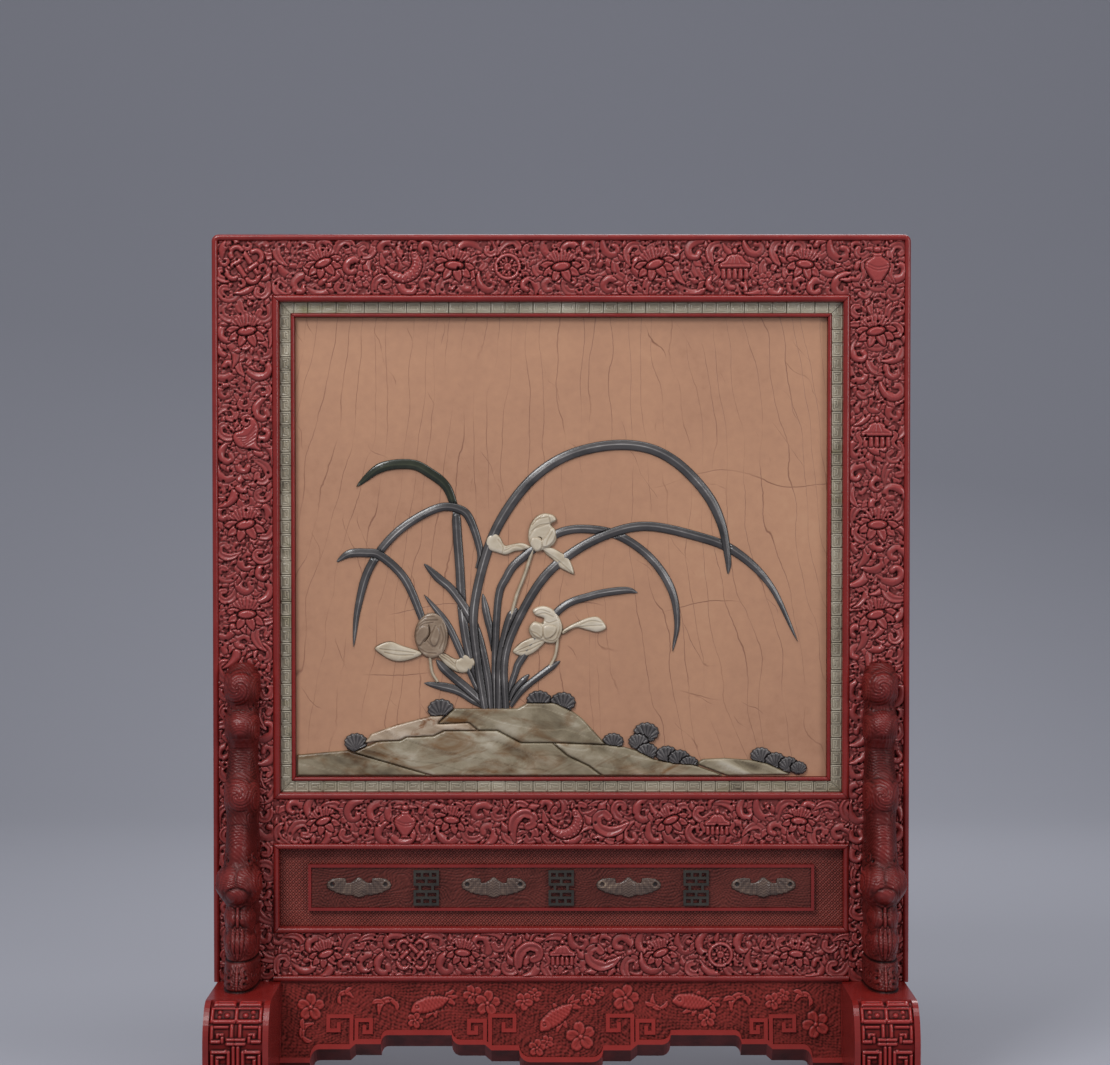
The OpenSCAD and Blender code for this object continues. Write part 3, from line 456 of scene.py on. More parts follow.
# Arc about a point; shrink draws it in to a spiral
def arc(cx, cz, r, a0, a1, count=10, shrink=1.0):
    t = np.arange(count + 1) / count
    a, s = a0 + (a1 - a0) * t, r * shrink ** t
    return np.column_stack([cx + s * np.cos(a), cz + s * np.sin(a)])


# Direction of a line at one of its points, and the direction to its left
def heading(line, k):
    d = (line[k + 1] - line[k - 1]) / np.hypot(*(line[k + 1] - line[k - 1]))
    return d, np.array([-d[1], d[0]])


# Carving: height fields in millimetres, cut by strokes, domes, plates, pits and grooves

# An empty field: the places and heights of its points, and which of them a form has taken
def newField(width, height, pitch, start=0.0):
    across, up = (np.linspace(0, length, int(round(length / pitch)) + 1) for length in (width, height))
    x, z = np.meshgrid(across, up)
    used = np.zeros(x.shape, bool)
    return {"x": x, "z": z, "h": np.full_like(x, start), "used": used, "w": width, "t": height}


# The part of a field between two corners
def window(f, lo, hi):
    rows, cols = f["x"].shape
    i0, j0 = max(0, int(lo[0] / f["w"] * (cols - 1))), max(0, int(lo[1] / f["t"] * (rows - 1)))
    i1 = min(cols, int(hi[0] / f["w"] * (cols - 1)) + 2)
    j1 = min(rows, int(hi[1] / f["t"] * (rows - 1)) + 2)
    return (slice(j0, j1), slice(i0, i1)) if i1 > i0 and j1 > j0 and hi[0] > 0 and hi[1] > 0 else None


# Quarter round from an edge: 0 at the edge, 1 from share 1 on
def rounded(share):
    return np.sqrt(1 - (1 - np.clip(share, 0, 1)) ** 2)


# Crown of a form across its half width: u is 0 in the middle and 1 at the edge
def crown(u, kind):
    fall = np.sqrt(np.clip((1 - u) / 0.3, 0, 1))
    if kind == "scoop":
        return (0.6 + 0.4 * u ** 1.4) * fall
    if kind == "ridge":
        return (1 - 0.42 * u) * fall
    if kind == "flat":
        return np.sqrt(np.clip((1 - u) / 0.35, 0, 1))
    return np.sqrt(np.clip(1 - u ** 2.4, 0, 1))


# For each point, its distance from a line as a share of the line's width, and its gap to the edge
def lineReach(line, widths, x, z):
    share, gap = np.full(x.shape, 99.0), np.full(x.shape, 99.0)
    for a, b, wa, wb in zip(line[:-1], line[1:], widths[:-1], widths[1:]):
        d = b - a
        t = np.clip(((x - a[0]) * d[0] + (z - a[1]) * d[1]) / max(d @ d, 1e-9), 0, 1)
        dist = np.hypot(x - a[0] - t * d[0], z - a[1] - t * d[1])
        wide = wa + t * (wb - wa)
        share, gap = np.minimum(share, dist / wide), np.minimum(gap, dist - wide)
    return share, gap


# A tapering form along a line, parted by a moat from what lies under it; tilt turns its face to one side
def stroke(f, line, widths, top, kind="round", moat=0.6, floor=0.25, tilt=(0, 0)):
    line = np.asarray(line, float)
    widths = np.interp(np.linspace(0, 1, len(line)), np.linspace(0, 1, len(widths)), widths)
    pad = widths.max() + moat
    part = window(f, line.min(0) - pad, line.max(0) + pad)
    if part:
        x, z = f["x"][part], f["z"][part]
        share, gap = lineReach(line, widths, x, z)
        middle = line.mean(0)
        lean = tilt[0] * (x - middle[0]) + tilt[1] * (z - middle[1])
        settle(f, part, share, gap, top, kind, moat, floor, lean)


# Sets a form into the field where its share is under 1, and lowers the moat round it
def settle(f, part, share, gap, top, kind, moat, floor, lean=0):
    h = f["h"][part]
    form = np.maximum((top + lean) * crown(np.minimum(share, 1), kind), floor)
    h[...] = np.where(share < 1, form, np.where(gap < moat, np.minimum(h, floor), h))
    f["used"][part] |= share < 1


# Oval form
def dome(f, x, z, rx, rz, turn, top, kind="round", moat=0.5, floor=0.25):
    r = max(rx, rz) + moat
    part = window(f, (x - r, z - r), (x + r, z + r))
    if part:
        c, s = math.cos(turn), math.sin(turn)
        px, pz = f["x"][part] - x, f["z"][part] - z
        share = np.hypot((px * c + pz * s) / rx, (pz * c - px * s) / rz)
        settle(f, part, share, (share - 1) * min(rx, rz), top, kind, moat, floor)


# Drilled hole
def pit(f, x, z, r, depth=-0.6):
    part = window(f, (x - r, z - r), (x + r, z + r))
    if part:
        share = np.hypot(f["x"][part] - x, f["z"][part] - z) / r
        h = f["h"][part]
        h[...] = np.where(share < 1, np.minimum(h, depth + (h - depth) * np.clip(share, 0, 1) ** 4), h)


# A closed outline, flat with a rounded edge
def plate(f, outline, top, edge=1.2, moat=0.6, floor=0.25):
    outline = np.asarray(outline, float)
    part = window(f, outline.min(0) - moat, outline.max(0) + moat)
    if part:
        near, inside, _, _ = outlineReach(outline, f["x"][part], f["z"][part])
        h = f["h"][part]
        form = np.maximum(top * rounded(near / edge), floor)
        h[...] = np.where(inside, form, np.where(near < moat, np.minimum(h, floor), h))
        f["used"][part] |= inside


# Fine cut along a line
def groove(f, line, wide, deep):
    line = np.asarray(line, float)
    part = window(f, line.min(0) - wide, line.max(0) + wide)
    if part:
        _, gap = lineReach(line, np.full(len(line), 0.001), f["x"][part], f["z"][part])
        f["h"][part] -= deep * np.clip(1 - gap / wide, 0, 1)


# A pen draws one motif about its own middle: scaled, turned and mirrored, with heights as shares of its top
class Pen:
    def __init__(self, f, x, z, size, turn, flip, top):
        self.f, self.x, self.z = f, x, z
        self.size, self.turn, self.flip, self.top = size, turn, flip, top

    def at(self, pts):
        p = np.asarray(pts, float) * (self.flip, 1)
        c, s = math.cos(self.turn) * self.size, math.sin(self.turn) * self.size
        return np.column_stack([self.x + p[:, 0] * c - p[:, 1] * s, self.z + p[:, 0] * s + p[:, 1] * c])

    # The line of a stroke or groove is smoothed where steps are given
    def line(self, pts, steps):
        return self.at(smoothLine(pts, steps) if steps else pts)

    def stroke(self, pts, widths, share=1, kind="round", moat=0.6, floor=0.25, steps=0, tilt=(0, 0)):
        wide = [w * self.size for w in widths]
        stroke(self.f, self.line(pts, steps), wide, self.top * share, kind, moat, floor, tilt)

    def groove(self, pts, wide, deep, steps=0):
        groove(self.f, self.line(pts, steps), wide, deep)

    def plate(self, pts, edge):
        plate(self.f, self.at(pts), self.top, edge)

    def dome(self, point, rx, rz, share=1, kind="round", moat=0.5, floor=0.25, turn=0):
        x, z = self.at([point])[0]
        dome(self.f, x, z, rx * self.size, rz * self.size, turn, self.top * share, kind, moat, floor)

    def pit(self, point, r, depth=-0.6):
        x, z = self.at([point])[0]
        pit(self.f, x, z, r * self.size, depth)

    def curl(self, point, size, turn, flip, share=1):
        x, z = self.at([point])[0]
        curl(self.f, x, z, size * self.size, turn, flip, self.top * share)


# Motifs: each is drawn by f, x, z, size, turn, flip and top

def curl(*seat):
    pen = Pen(*seat)
    pen.stroke(arc(0, 0, 1.0, 0, 4.9, 13, 0.32), (0.16, 0.38, 0.36, 0.26), 1, "scoop", 0.5)
    pen.pit((0.1, 0.05), 0.34)


def comma(*seat):
    line = [(-1.1, -0.5), (-0.4, 0.3), (0.4, 0.35), (1.0, -0.3)]
    Pen(*seat).stroke(line, (0.1, 0.46, 0.38, 0.08), 1, "ridge", 0.5, steps=5)


# Curled leaf: a broad hollowed scroll with pointed lobes along its outer edge, a vein and a drilled eye
def scrollLeaf(*seat):
    pen = Pen(*seat)
    body, lobes = ("scoop", "ridge") if pen.flip > 0 else ("ridge", "scoop")
    tilt = (0.15 * math.cos(5 * pen.turn), 0.15 * math.sin(5 * pen.turn))
    spine = smoothLine([(-1.15, -0.95), (-1.0, -0.2), (-0.55, 0.45), (0.15, 0.62), (0.68, 0.25),
                        (0.55, -0.3), (0.12, -0.32)], 4)
    for k in (19, 14, 9, 4):
        d, out = heading(spine, k)
        lobe = [spine[k], spine[k] + 0.5 * out + 0.2 * d, spine[k] + 0.74 * out + 0.66 * d]
        pen.stroke(lobe, (0.3, 0.3, 0.05), 0.92, lobes, 0.55, 0.3, tilt=tilt)
    pen.stroke(spine, (0.08, 0.3, 0.4, 0.38, 0.32, 0.27, 0.29), 1, body, 0.55, 0.3, tilt=tilt)
    if pen.flip > 0:
        pen.groove(spine[3:20], 0.9, 0.5)
    pen.pit((0.08, 0.14), 0.24, -0.8)


# Water lily from the side: smooth seat, fan of flutes above it and pointed petals round its lower side
def lotus(*seat):
    pen = Pen(*seat)
    for k in (-5, 5, -4, 4, -3, 3, -2, 2, -1, 1, 0):
        a = 0.27 * k
        tip = (0.95 * math.sin(a), 0.14 + (0.82 - 0.06 * (k % 2)) * math.cos(a))
        pen.stroke([(0.3 * math.sin(a), 0.1), tip], (0.1, 0.15), 0.85, "round", 0.3, 1.2)
    for a in (-1.75, 1.75, -1.05, 1.05, -0.38, 0.42):
        tip = (1.3 * math.sin(a), -0.14 - 0.95 * math.cos(a))
        petal = [(0.3 * math.sin(a), -0.2), (0.62 * tip[0], 0.56 * tip[1]), tip]
        pen.stroke(petal, (0.12, 0.3, 0.25, 0.04), 0.92, "scoop", 0.8, 0.1, 4)
    pen.dome((0, -0.04), 0.6, 0.28, 1, "flat", 0.8, 0.1, pen.turn + 0.15)


# Points on the unit circle, evenly spread from a turn, with their angles
def rays(count, turn):
    for k in range(count):
        a = turn + 2 * math.pi * k / count
        yield a, np.array([math.cos(a), math.sin(a)])


def rosette(f, x, z, r, turn, flip, top):
    pen = Pen(f, x, z, r, 0, flip, top)
    for a, ray in rays(6, turn):
        pen.dome(0.6 * ray, 0.44, 0.38, 0.85, "scoop", 0.35, turn=a)
    pen.dome((0, 0), 0.26, 0.26, 1, "round", 0.35)


# Fish bent like a bow: scored body, fan tail, combed crest and beads along the back
def fish(*seat):
    pen = Pen(*seat)
    for tip in ((-1.75, 0.95), (-1.9, 0.45), (-1.35, 1.1)):
        pen.stroke([(-1.1, 0.05), (-1.35, 0.45), tip], (0.14, 0.24, 0.06), 0.85, "scoop", 0.6, 0.2, 4)
    for x, z in ((-0.1, 0.35), (0.15, 0.75), (0.4, 1.1), (0.75, 1.25)):
        crest = [(0.55, 0.3), (0.5 * (0.5 + x), 0.45 + 0.35 * z), (x, z)]
        pen.stroke(crest, (0.16, 0.12, 0.04), 0.85, "ridge", 0.6, 0.2, 4)
    body = smoothLine([(-1.2, 0.15), (-0.85, -0.4), (-0.25, -0.75), (0.45, -0.6), (0.85, -0.05),
                       (0.8, 0.65)], 5)
    pen.stroke(body, (0.1, 0.26, 0.36, 0.4, 0.37, 0.22), 1, "round", 0.8, 0.2)
    for k in range(3, 22):
        d, n = heading(body, k)
        if k % 2:
            pen.groove([body[k] - 0.1 * n, body[k] + 0.12 * d + 0.14 * n, body[k] + 0.36 * n], 0.9, 0.9)
        elif k > 8:
            pen.dome(body[k] - 0.26 * n, 0.1, 0.1, 1.08, "round", 0.3, 0.5 * pen.top)
    pen.dome((0.8, 0.5), 0.13, 0.13, 1.05, "round", 0.4, 0.5 * pen.top)


# Knot of two long loops laid across one another, woven over and under on a cleared ground
def knot(*seat):
    pen = Pen(*seat)
    wide, gap = [0.15], 0.36
    pen.dome((0, 0), 1.3, 1.3, 0.5 / pen.top, "flat", 0.2, 0.2)
    for flat in (0, 1):
        for s in (-1, 1):
            end = arc(0.8 * s, 0, gap, -math.pi / 2, math.pi / 2 if s > 0 else -1.5 * math.pi, 8)
            for line in ([(-0.8, gap * s), (0.8, gap * s)], end):
                line = [q[::-1] for q in line] if flat else line
                pen.stroke(line, wide, 0.9 + 0.02 * flat, "round", 0.7, 0.2)
    for s in (-1, 1):
        pen.stroke([(-gap * s - 0.24, gap * s), (-gap * s + 0.24, gap * s)], wide, 0.98, "round", 0.6, 0.3)
        for turned in (-1, 1):
            pen.curl((0.8 * s, 0.8 * s * turned), 0.3, 2.0 * s + turned, s * turned, 0.85)


def wheel(f, x, z, r, turn, flip, top):
    pen = Pen(f, x, z, r, 0, flip, top)
    for _, ray in rays(8, turn):
        pen.dome(1.12 * ray, 0.15, 0.15, 0.9, "round", 0.4)
        pen.stroke([(0, 0), 0.85 * ray], (0.09, 0.12), 0.85, "ridge", 0.4)
    pen.stroke(arc(0, 0, 0.88, 0, 2 * math.pi, 24), [0.15], 1, "round", 0.4)
    pen.dome((0, 0), 0.3, 0.3, 1, "scoop", 0.4)


# Covered vase with a sash across its belly, leaves at its neck and two ribbons
def vase(*seat):
    pen = Pen(*seat)
    for s in (-1, 1):
        ribbon = [(0.3 * s, 0.5), (0.8 * s, 0.2), (0.75 * s, -0.4), (1.0 * s, -0.9)]
        pen.stroke(ribbon, (0.09, 0.14, 0.04), 0.8, "scoop", 0.45, steps=4)
        leaf = [(0.05 * s, 0.7), (0.3 * s, 1.0), (0.75 * s, 1.0)]
        pen.stroke(leaf, (0.12, 0.17, 0.04), 0.8, "ridge", 0.45, steps=4)
    half = smoothLine([(0.36, -1.0), (0.25, -0.82), (0.46, -0.5), (0.7, -0.05), (0.66, 0.28), (0.34, 0.52),
                       (0.27, 0.66), (0.42, 0.8)], 3)
    pen.plate([*half, *(half[::-1] * (-1, 1))], 2.4)
    for cut in ([(-0.3, 0.56), (0.3, 0.56)], [(-0.68, 0.22), (0, -0.04), (0.68, 0.1)],
                [(-0.68, 0.06), (0, -0.2), (0.68, -0.06)], [(-0.28, -0.8), (0.28, -0.8)]):
        pen.groove(cut, 0.8, 0.9, 4)
    pen.dome((0, 0.98), 0.24, 0.2, 1, "round", 0.4, 0.3)


# Parasol: domed cap, valance of drops and two ribbons
def canopy(*seat):
    pen = Pen(*seat)
    for s in (-1, 1):
        ribbon = [(0.6 * s, 0.1), (1.15 * s, -0.1), (0.95 * s, -0.6), (1.35 * s, -1.0)]
        pen.stroke(ribbon, (0.1, 0.15, 0.05), 0.82, "scoop", 0.45, steps=4)
    for k in range(5):
        x = -0.68 + 0.34 * k
        pen.stroke([(x, -0.15), (x, -0.75)], (0.12, 0.16), 0.85, "round", 0.35)
    pen.plate([(-0.9, -0.2), (-0.95, 0.05), (-0.6, 0.25), (-0.45, 0.5), (0, 0.7), (0.45, 0.5), (0.6, 0.25),
               (0.95, 0.05), (0.9, -0.2)], 1.4)
    pen.groove([(-0.9, 0.0), (0.9, 0.0)], 0.8, 0.9)
    for x in (-0.35, 0, 0.35):
        pen.groove([(x, 0.02), (x * 0.4, 0.6)], 0.8, 0.7)
    pen.dome((0, 0.82), 0.16, 0.2)


# Conch: ribbed body from a wide lip to a coiled end
def conch(*seat):
    pen = Pen(*seat)
    body = [(0.1, 1.0), (0.55, 0.9), (0.75, 0.3), (0.55, -0.5), (0.75, -0.95), (0.2, -0.8), (-0.45, -0.65),
            (-0.75, -0.15), (-0.6, 0.2), (-0.15, 0.35)]
    pen.plate(smoothLoop(body), 2.2)
    for k in range(5):
        rib = [(0.62 - 0.03 * k, 0.5 - 0.22 * k), (0.1 - 0.08 * k, -0.05 - 0.16 * k),
               (-0.5 + 0.1 * k, -0.05 - 0.14 * k)]
        pen.groove(rib, 0.9, 1.1, 4)
    pen.curl((0.1, 0.75), 0.36, pen.turn + 1.0, pen.flip)


# Long lock of hair
def lock(f, pts, wide, top):
    stroke(f, smoothLine(pts), [0.45 * wide, wide, 0.95 * wide, 0.4 * wide], top, "round", 0.35, 0.35)


# Uneven cuts left by the knife
def toolMarks(f, seed, amount):
    rng = random.Random(seed)
    waves = [(rng.uniform(-2.4, 2.4), rng.uniform(-2.4, 2.4), rng.uniform(0, 6.3)) for _ in range(9)]
    sway = 1.3 * np.sin(0.23 * f["x"] + 0.31 * f["z"])
    return amount * sum(np.sin(f["x"] * a + f["z"] * b + c + sway) for a, b, c in waves) / 3


# Fine lines of water that bend round soft eddies
def swirls(f, seed, wave, eddies, reach):
    rng = random.Random(seed)
    phase = 0.8 * f["z"] + 2.0 * np.sin(f["x"] / 17) + 0.8 * np.sin(f["x"] / 6.3 + f["z"] / 7)
    for _ in range(eddies):
        cx, cz, r = rng.uniform(0, f["w"]), rng.uniform(0, f["t"]), rng.uniform(*reach)
        away = ((f["x"] - cx) ** 2 + (f["z"] - cz) ** 2) / r ** 2
        phase += rng.choice((-1, 1)) * 0.55 * r * np.exp(-away)
    return 0.5 + 0.5 * np.sin(phase * 2 * math.pi / wave)


# Fills what the large forms leave open with leaflets and buds that just fit; the rest stays a dark cut
def fillGaps(f, rng, top):
    step = f["w"] / (f["x"].shape[1] - 1)
    places = [(x, z) for x in np.arange(1.2, f["w"], 2.1) for z in np.arange(1.2, f["t"], 2.1)]
    rng.shuffle(places)
    for reach in (3.6, 2.4):
        for x, z in places:
            part = window(f, (x - reach, z - reach), (x + reach, z + reach))
            close = np.hypot(f["x"][part] - x, f["z"][part] - z) < reach * 0.86 + 0.3 * step
            if (f["used"][part] & close).any():
                continue
            if reach > 3:
                turn, flip = rng.uniform(0, 6.3), rng.choice((-1, 1))
                comma(f, x, z, reach * 0.95, turn, flip, top * rng.uniform(0.8, 1.0))
            else:
                wide, turn = reach * rng.uniform(0.55, 0.8), rng.uniform(0, 3.1)
                high, kind = top * rng.uniform(0.5, 0.8), rng.choice(("round", "ridge", "scoop"))
                dome(f, x, z, reach, wide, turn, high, kind, 0.4, 0.2)


# Carved bands of posts and rails

bandCut = {"pitch": 0.62, "floorY": -16.0, "ground": 0.2, "fill": 2.3, "main": 3.6, "marks": 0.06,
           "under": {"row": 11.5, "size": (5.2, 6.4), "top": 2.3},
           "over": {"row": 18.0, "size": (8.8, 10.8), "top": 2.9},
           "holes": {"area": 52, "size": (1.0, 1.7), "below": 1.6, "depth": -0.8}, "low": 0.08, "high": 3.85,
           "bottom": -0.8}

# Motifs are placed from the left end and the lower edge of their band, then come size and turn
posts = {
    "left": {"x": -308.6, "seed": 11, "motifs": [
        (knot, 24, 647, 15.5, 0.6), (lotus, 26, 588, 14, 0.0), (conch, 25, 494, 16, 0.1),
        (lotus, 24, 414, 14.5, 0.1), (lotus, 25, 333, 14, -0.1), (wheel, 24, 253, 12, 0.0),
        (lotus, 24, 172, 14, 0.0), (vase, 24, 92, 15, 0.0), (lotus, 24, 30, 13, 0.0)]},
    "right": {"x": 260.0, "seed": 12, "motifs": [
        (vase, 24, 645, 16, 0.0), (lotus, 23, 588, 14, 0.05), (canopy, 24, 496, 15, 0.0),
        (lotus, 25, 414, 14.5, -0.1), (lotus, 24, 333, 14, 0.1), (conch, 24, 253, 15, 0.0),
        (lotus, 24, 172, 14, 0.0), (knot, 24, 92, 14, 0.6), (lotus, 24, 30, 13, 0.0)]},
}
postForm = {"wide": 48.6, "low": 103.0, "high": 771.6}
rails = {
    "top": {"low": 723.0, "high": 771.6, "seed": 21, "motifs": [
        (lotus, 46, 29, 13, 0.25), (rosette, 82, 14, 8, 0.0), (fish, 119, 26, 13.5, 0.2),
        (lotus, 164, 27, 14, -0.2), (wheel, 212, 25, 12, 0.2), (lotus, 260, 26, 14, 0.0),
        (lotus, 344, 28, 14, 0.2), (canopy, 416, 27, 15, 0.0), (lotus, 479, 28, 13, -0.25),
        (rosette, 445, 13, 8, 0.3)]},
    "middle": {"low": 228.0, "high": 268.0, "seed": 22, "motifs": [
        (lotus, 45, 21, 12, 0.25), (vase, 119, 19, 14, 0.0), (lotus, 161, 22, 12, -0.25),
        (scrollLeaf, 227, 19, 13, 0.4), (fish, 264, 19, 13, 0.2), (scrollLeaf, 301, 20, 13, 2.4),
        (lotus, 359, 22, 12, 0.25), (canopy, 401, 19, 12.5, 0.0), (lotus, 475, 21, 12, -0.25)]},
    "lower": {"low": 108.4, "high": 147.0, "seed": 23, "motifs": [
        (lotus, 47, 20, 12, 0.25), (knot, 125, 19, 13.5, 0.785), (lotus, 171, 21, 12, -0.25),
        (scrollLeaf, 232, 18, 13, 0.4), (canopy, 261, 20, 12.5, 0.0), (scrollLeaf, 294, 18, 13, 2.4),
        (lotus, 350, 21, 12, 0.25), (wheel, 404, 19, 11.5, 0.0), (lotus, 473, 20, 12, -0.25)]},
}
railLong = 520.0


# Small leaves first, broad ones over them, then the emblems
def carveBand(width, height, motifs, seed):
    f = newField(width, height, bandCut["pitch"], bandCut["ground"])
    rng = random.Random(seed)
    upright = height > width
    across, along = (width, height) if upright else (height, width)
    for layer in (bandCut["under"], bandCut["over"]):
        lanes, rows = int(round(across / layer["row"])), int(along / layer["row"])
        for k in range(rows):
            for lane in range(lanes):
                a = (lane + 0.5) * across / lanes + rng.uniform(-2, 2)
                b = (k + 0.5 + 0.5 * (lane % 2)) * along / rows + rng.uniform(-2.5, 2.5)
                x, z = (a, b) if upright else (b, a)
                size, turn, flip = rng.uniform(*layer["size"]), rng.uniform(0, 6.3), rng.choice((-1, 1))
                scrollLeaf(f, x, z, size, turn, flip, layer["top"] * rng.uniform(0.9, 1.08))
    for motif, x, z, size, turn in motifs:
        motif(f, x, z, size, turn, 1, bandCut["main"])
    fillGaps(f, rng, bandCut["fill"])
    holes = bandCut["holes"]
    for _ in range(int(width * height / holes["area"])):
        x, z = rng.uniform(0, width), rng.uniform(0, height)
        part = window(f, (x, z), (x, z))
        if f["h"][part].min() < holes["below"]:  # in the low places alone
            pit(f, x, z, rng.uniform(*holes["size"]), holes["depth"])
    marked = soften(f["h"] + toolMarks(f, seed, bandCut["marks"]), 1)
    f["h"] = np.clip(marked, bandCut["low"], bandCut["high"])
    return f


def makeBand(name, left, low, width, height, form):
    def place(x, z, h):
        return left + x, bandCut["floorY"] - h, low + z
    band = carveBand(width, height, form["motifs"], form["seed"])
    carvedSlab(name, band, place, bandCut["bottom"], "carvedLacquer", "red_lacquer")


for side, post in posts.items():
    high = postForm["high"] - postForm["low"]
    makeBand(side + "PostCarving", post["x"], postForm["low"], postForm["wide"], high, post)
for name, rail in rails.items():
    makeBand(name + "RailCarving", -railLong / 2, rail["low"], railLong, rail["high"] - rail["low"], rail)
print("carved bands cut")


# Standing spandrels: side gives depth and height, half gives half width and height, rolls are round swellings

spandrelForm = {
    "side": [(58, 0), (58, 6), (49, 27), (43, 32), (45, 52), (41, 72), (46, 88), (42, 112), (35, 152),
             (30, 171), (22, 196), (17, 213), (22, 232), (17, 250), (16, 272), (9, 289)],
    "rolls": [(38, 41, 14), (36, 62, 13), (36, 92, 19), (22, 171, 17), (15, 232, 15), (12, 268, 17)],
    "half": [(15.5, 0), (15.5, 25), (14, 30), (15.5, 45), (14, 53), (15.5, 66), (14.4, 74), (17, 80),
             (24, 90), (22, 104), (17, 110), (15.5, 122), (14.4, 148), (15.5, 163), (15.5, 180), (14, 200),
             (13.5, 213), (15.2, 224), (15.2, 240), (14, 250), (15.5, 262), (15.5, 276), (12.5, 286),
             (6, 289)],
    "wide": 48, "deep": 62, "high": 289.0, "postX": 287.0, "footTop": 103.0, "body": 15.5, "corner": 2.7,
    "melt": 5.5, "pitch": 0.6, "ground": 1.6, "level": 2.0, "marks": 0.07, "frontSeed": 51, "sideSeed": 52,
    "front": {"rows": 430, "around": 150, "seatY": 16.0}, "back": {"rows": 260, "around": 90, "seatY": 20.0},
}


# A smooth boss with fine lines that whirl from its rim to its eye
def whirl(f, x, z, r, start, flip, top):
    dome(f, x, z, r, r, 0, top, "flat", 0.9, 1.6)
    t = np.linspace(0, 1, 26)
    for k in range(6):
        a, reach = start + math.pi * k / 3 + flip * 5.2 * t, r * (0.96 - 0.9 * t)
        line = np.column_stack([x + reach * np.cos(a), z + reach * np.sin(a)])
        groove(f, line, 1.0, 0.75 if k % 3 else 1.3)
    dome(f, x, z, 0.09 * r, 0.09 * r, 0, top, "round", 0.3, top * 0.6)


# Fine hairs: arcs about one middle
def hairs(f, x, z, near, far, gap, a0, a1):
    for r in np.arange(near, far, gap):
        groove(f, arc(x, z, r, a0, a1, 12), 1.0, 0.8)


# Carving on the front of a spandrel, from its base upward
def spandrelFront():
    form = spandrelForm
    f = newField(form["wide"], form["high"], form["pitch"], form["ground"])
    cx = form["wide"] / 2
    for s in (-1, 1):  # leaf mask on the base
        lock(f, [(cx + s * 14.5, 2), (cx + s * 16, 12), (cx + s * 14, 24)], 2.0, 2.4)
        curl(f, cx + s * 7, 7.5, 5.0, 0.5, s, 2.8)
        curl(f, cx + s * 7.5, 18.5, 5.2, 2.2, -s, 2.9)
    lock(f, [(cx, 2), (cx, 13), (cx, 24)], 1.7, 2.7)
    for z in (1.5, 26.5):
        groove(f, [(0, z), (form["wide"], z)], 1.5, 2.0)
    for k in (-3, 3, -2, 2, -1, 1, 0):  # fluted bulb, gathered to a point below
        flute = [(cx + 4.2 * k, 55), (cx + 4.5 * k, 46), (cx + 2.6 * k, 35), (cx + 0.7 * k, 29)]
        lock(f, flute, 2.5, 2.6 + 0.25 * (k % 2))
        groove(f, smoothLine([(cx + 4.2 * k, 54), (cx + 4.4 * k, 46), (cx + 2.2 * k, 34)]), 0.7, 0.4)
    for s in (-1, 1):
        dome(f, cx + s * 7.8, 66, 7.2, 9.4, 0, 3.1, "round", 0.8, 0.3)  # lobed bulb
        hairs(f, cx + s * 7.8, 58, 9, 15, 2.4, 1.0, 2.1)
    stroke(f, [(cx, 58), (cx, 66), (cx, 74)], [1.4, 2.0, 1.4], 3.0, "round", 0.5, 0.2)
    for s in (-1, 1):
        curl(f, cx + s * 18.5, 88, 6.2, 0.6, s, 2.9)
        dome(f, cx + s * 8.6, 100, 9.6, 12.5, 0.3 * s, 3.0, "round", 0.7, 1.2)  # cheeks
        hairs(f, cx + s * 3, 92, 5, 19, 2.2, 0.7 if s > 0 else 1.5, 1.6 if s > 0 else 2.4)
    dome(f, cx, 85, 11.0, 8.0, 0, 3.3, "round", 0.9, 1.0)  # round knob under them
    dome(f, cx, 130, 14.5, 20, 0, 2.9, "round", 0.8, 1.5)  # swelling brow
    hairs(f, cx, 122, 8, 27, 2.4, 0.75, 2.4)
    for s in (-1, 1):
        lock(f, [(cx + s * 14, 118), (cx + s * 17, 130), (cx + s * 14, 144)], 1.6, 2.4)
        curl(f, cx + s * 12.5, 152, 5.2, 1.2, s, 2.8)
    whirl(f, cx - 1, 173, 16.5, 4.2, -1, 2.9)
    hairs(f, cx, 180, 13, 33, 2.3, 0.9, 2.25)
    plate(f, [(cx - 12, 213), (cx + 12, 213), (cx + 12, 223), (cx - 12, 223)], 2.3, 1.6, 0.5, 1.2)
    for z in (215.5, 218, 220.5):
        groove(f, [(cx - 11, z), (cx + 11, z)], 0.7, 0.4)
    dome(f, cx, 236, 14.5, 13.5, 0, 3.0, "round", 0.8, 1.5)
    hairs(f, cx, 222, 8, 27, 2.2, 0.8, 2.35)
    for s in (-1, 1):
        curl(f, cx + s * 12, 251, 4.6, 1.2, s, 2.6)
    whirl(f, cx - 2, 268, 17.5, 0.4, 1, 2.9)
    f["h"] = soften(f["h"] + toolMarks(f, form["frontSeed"], form["marks"]), 1)
    return f


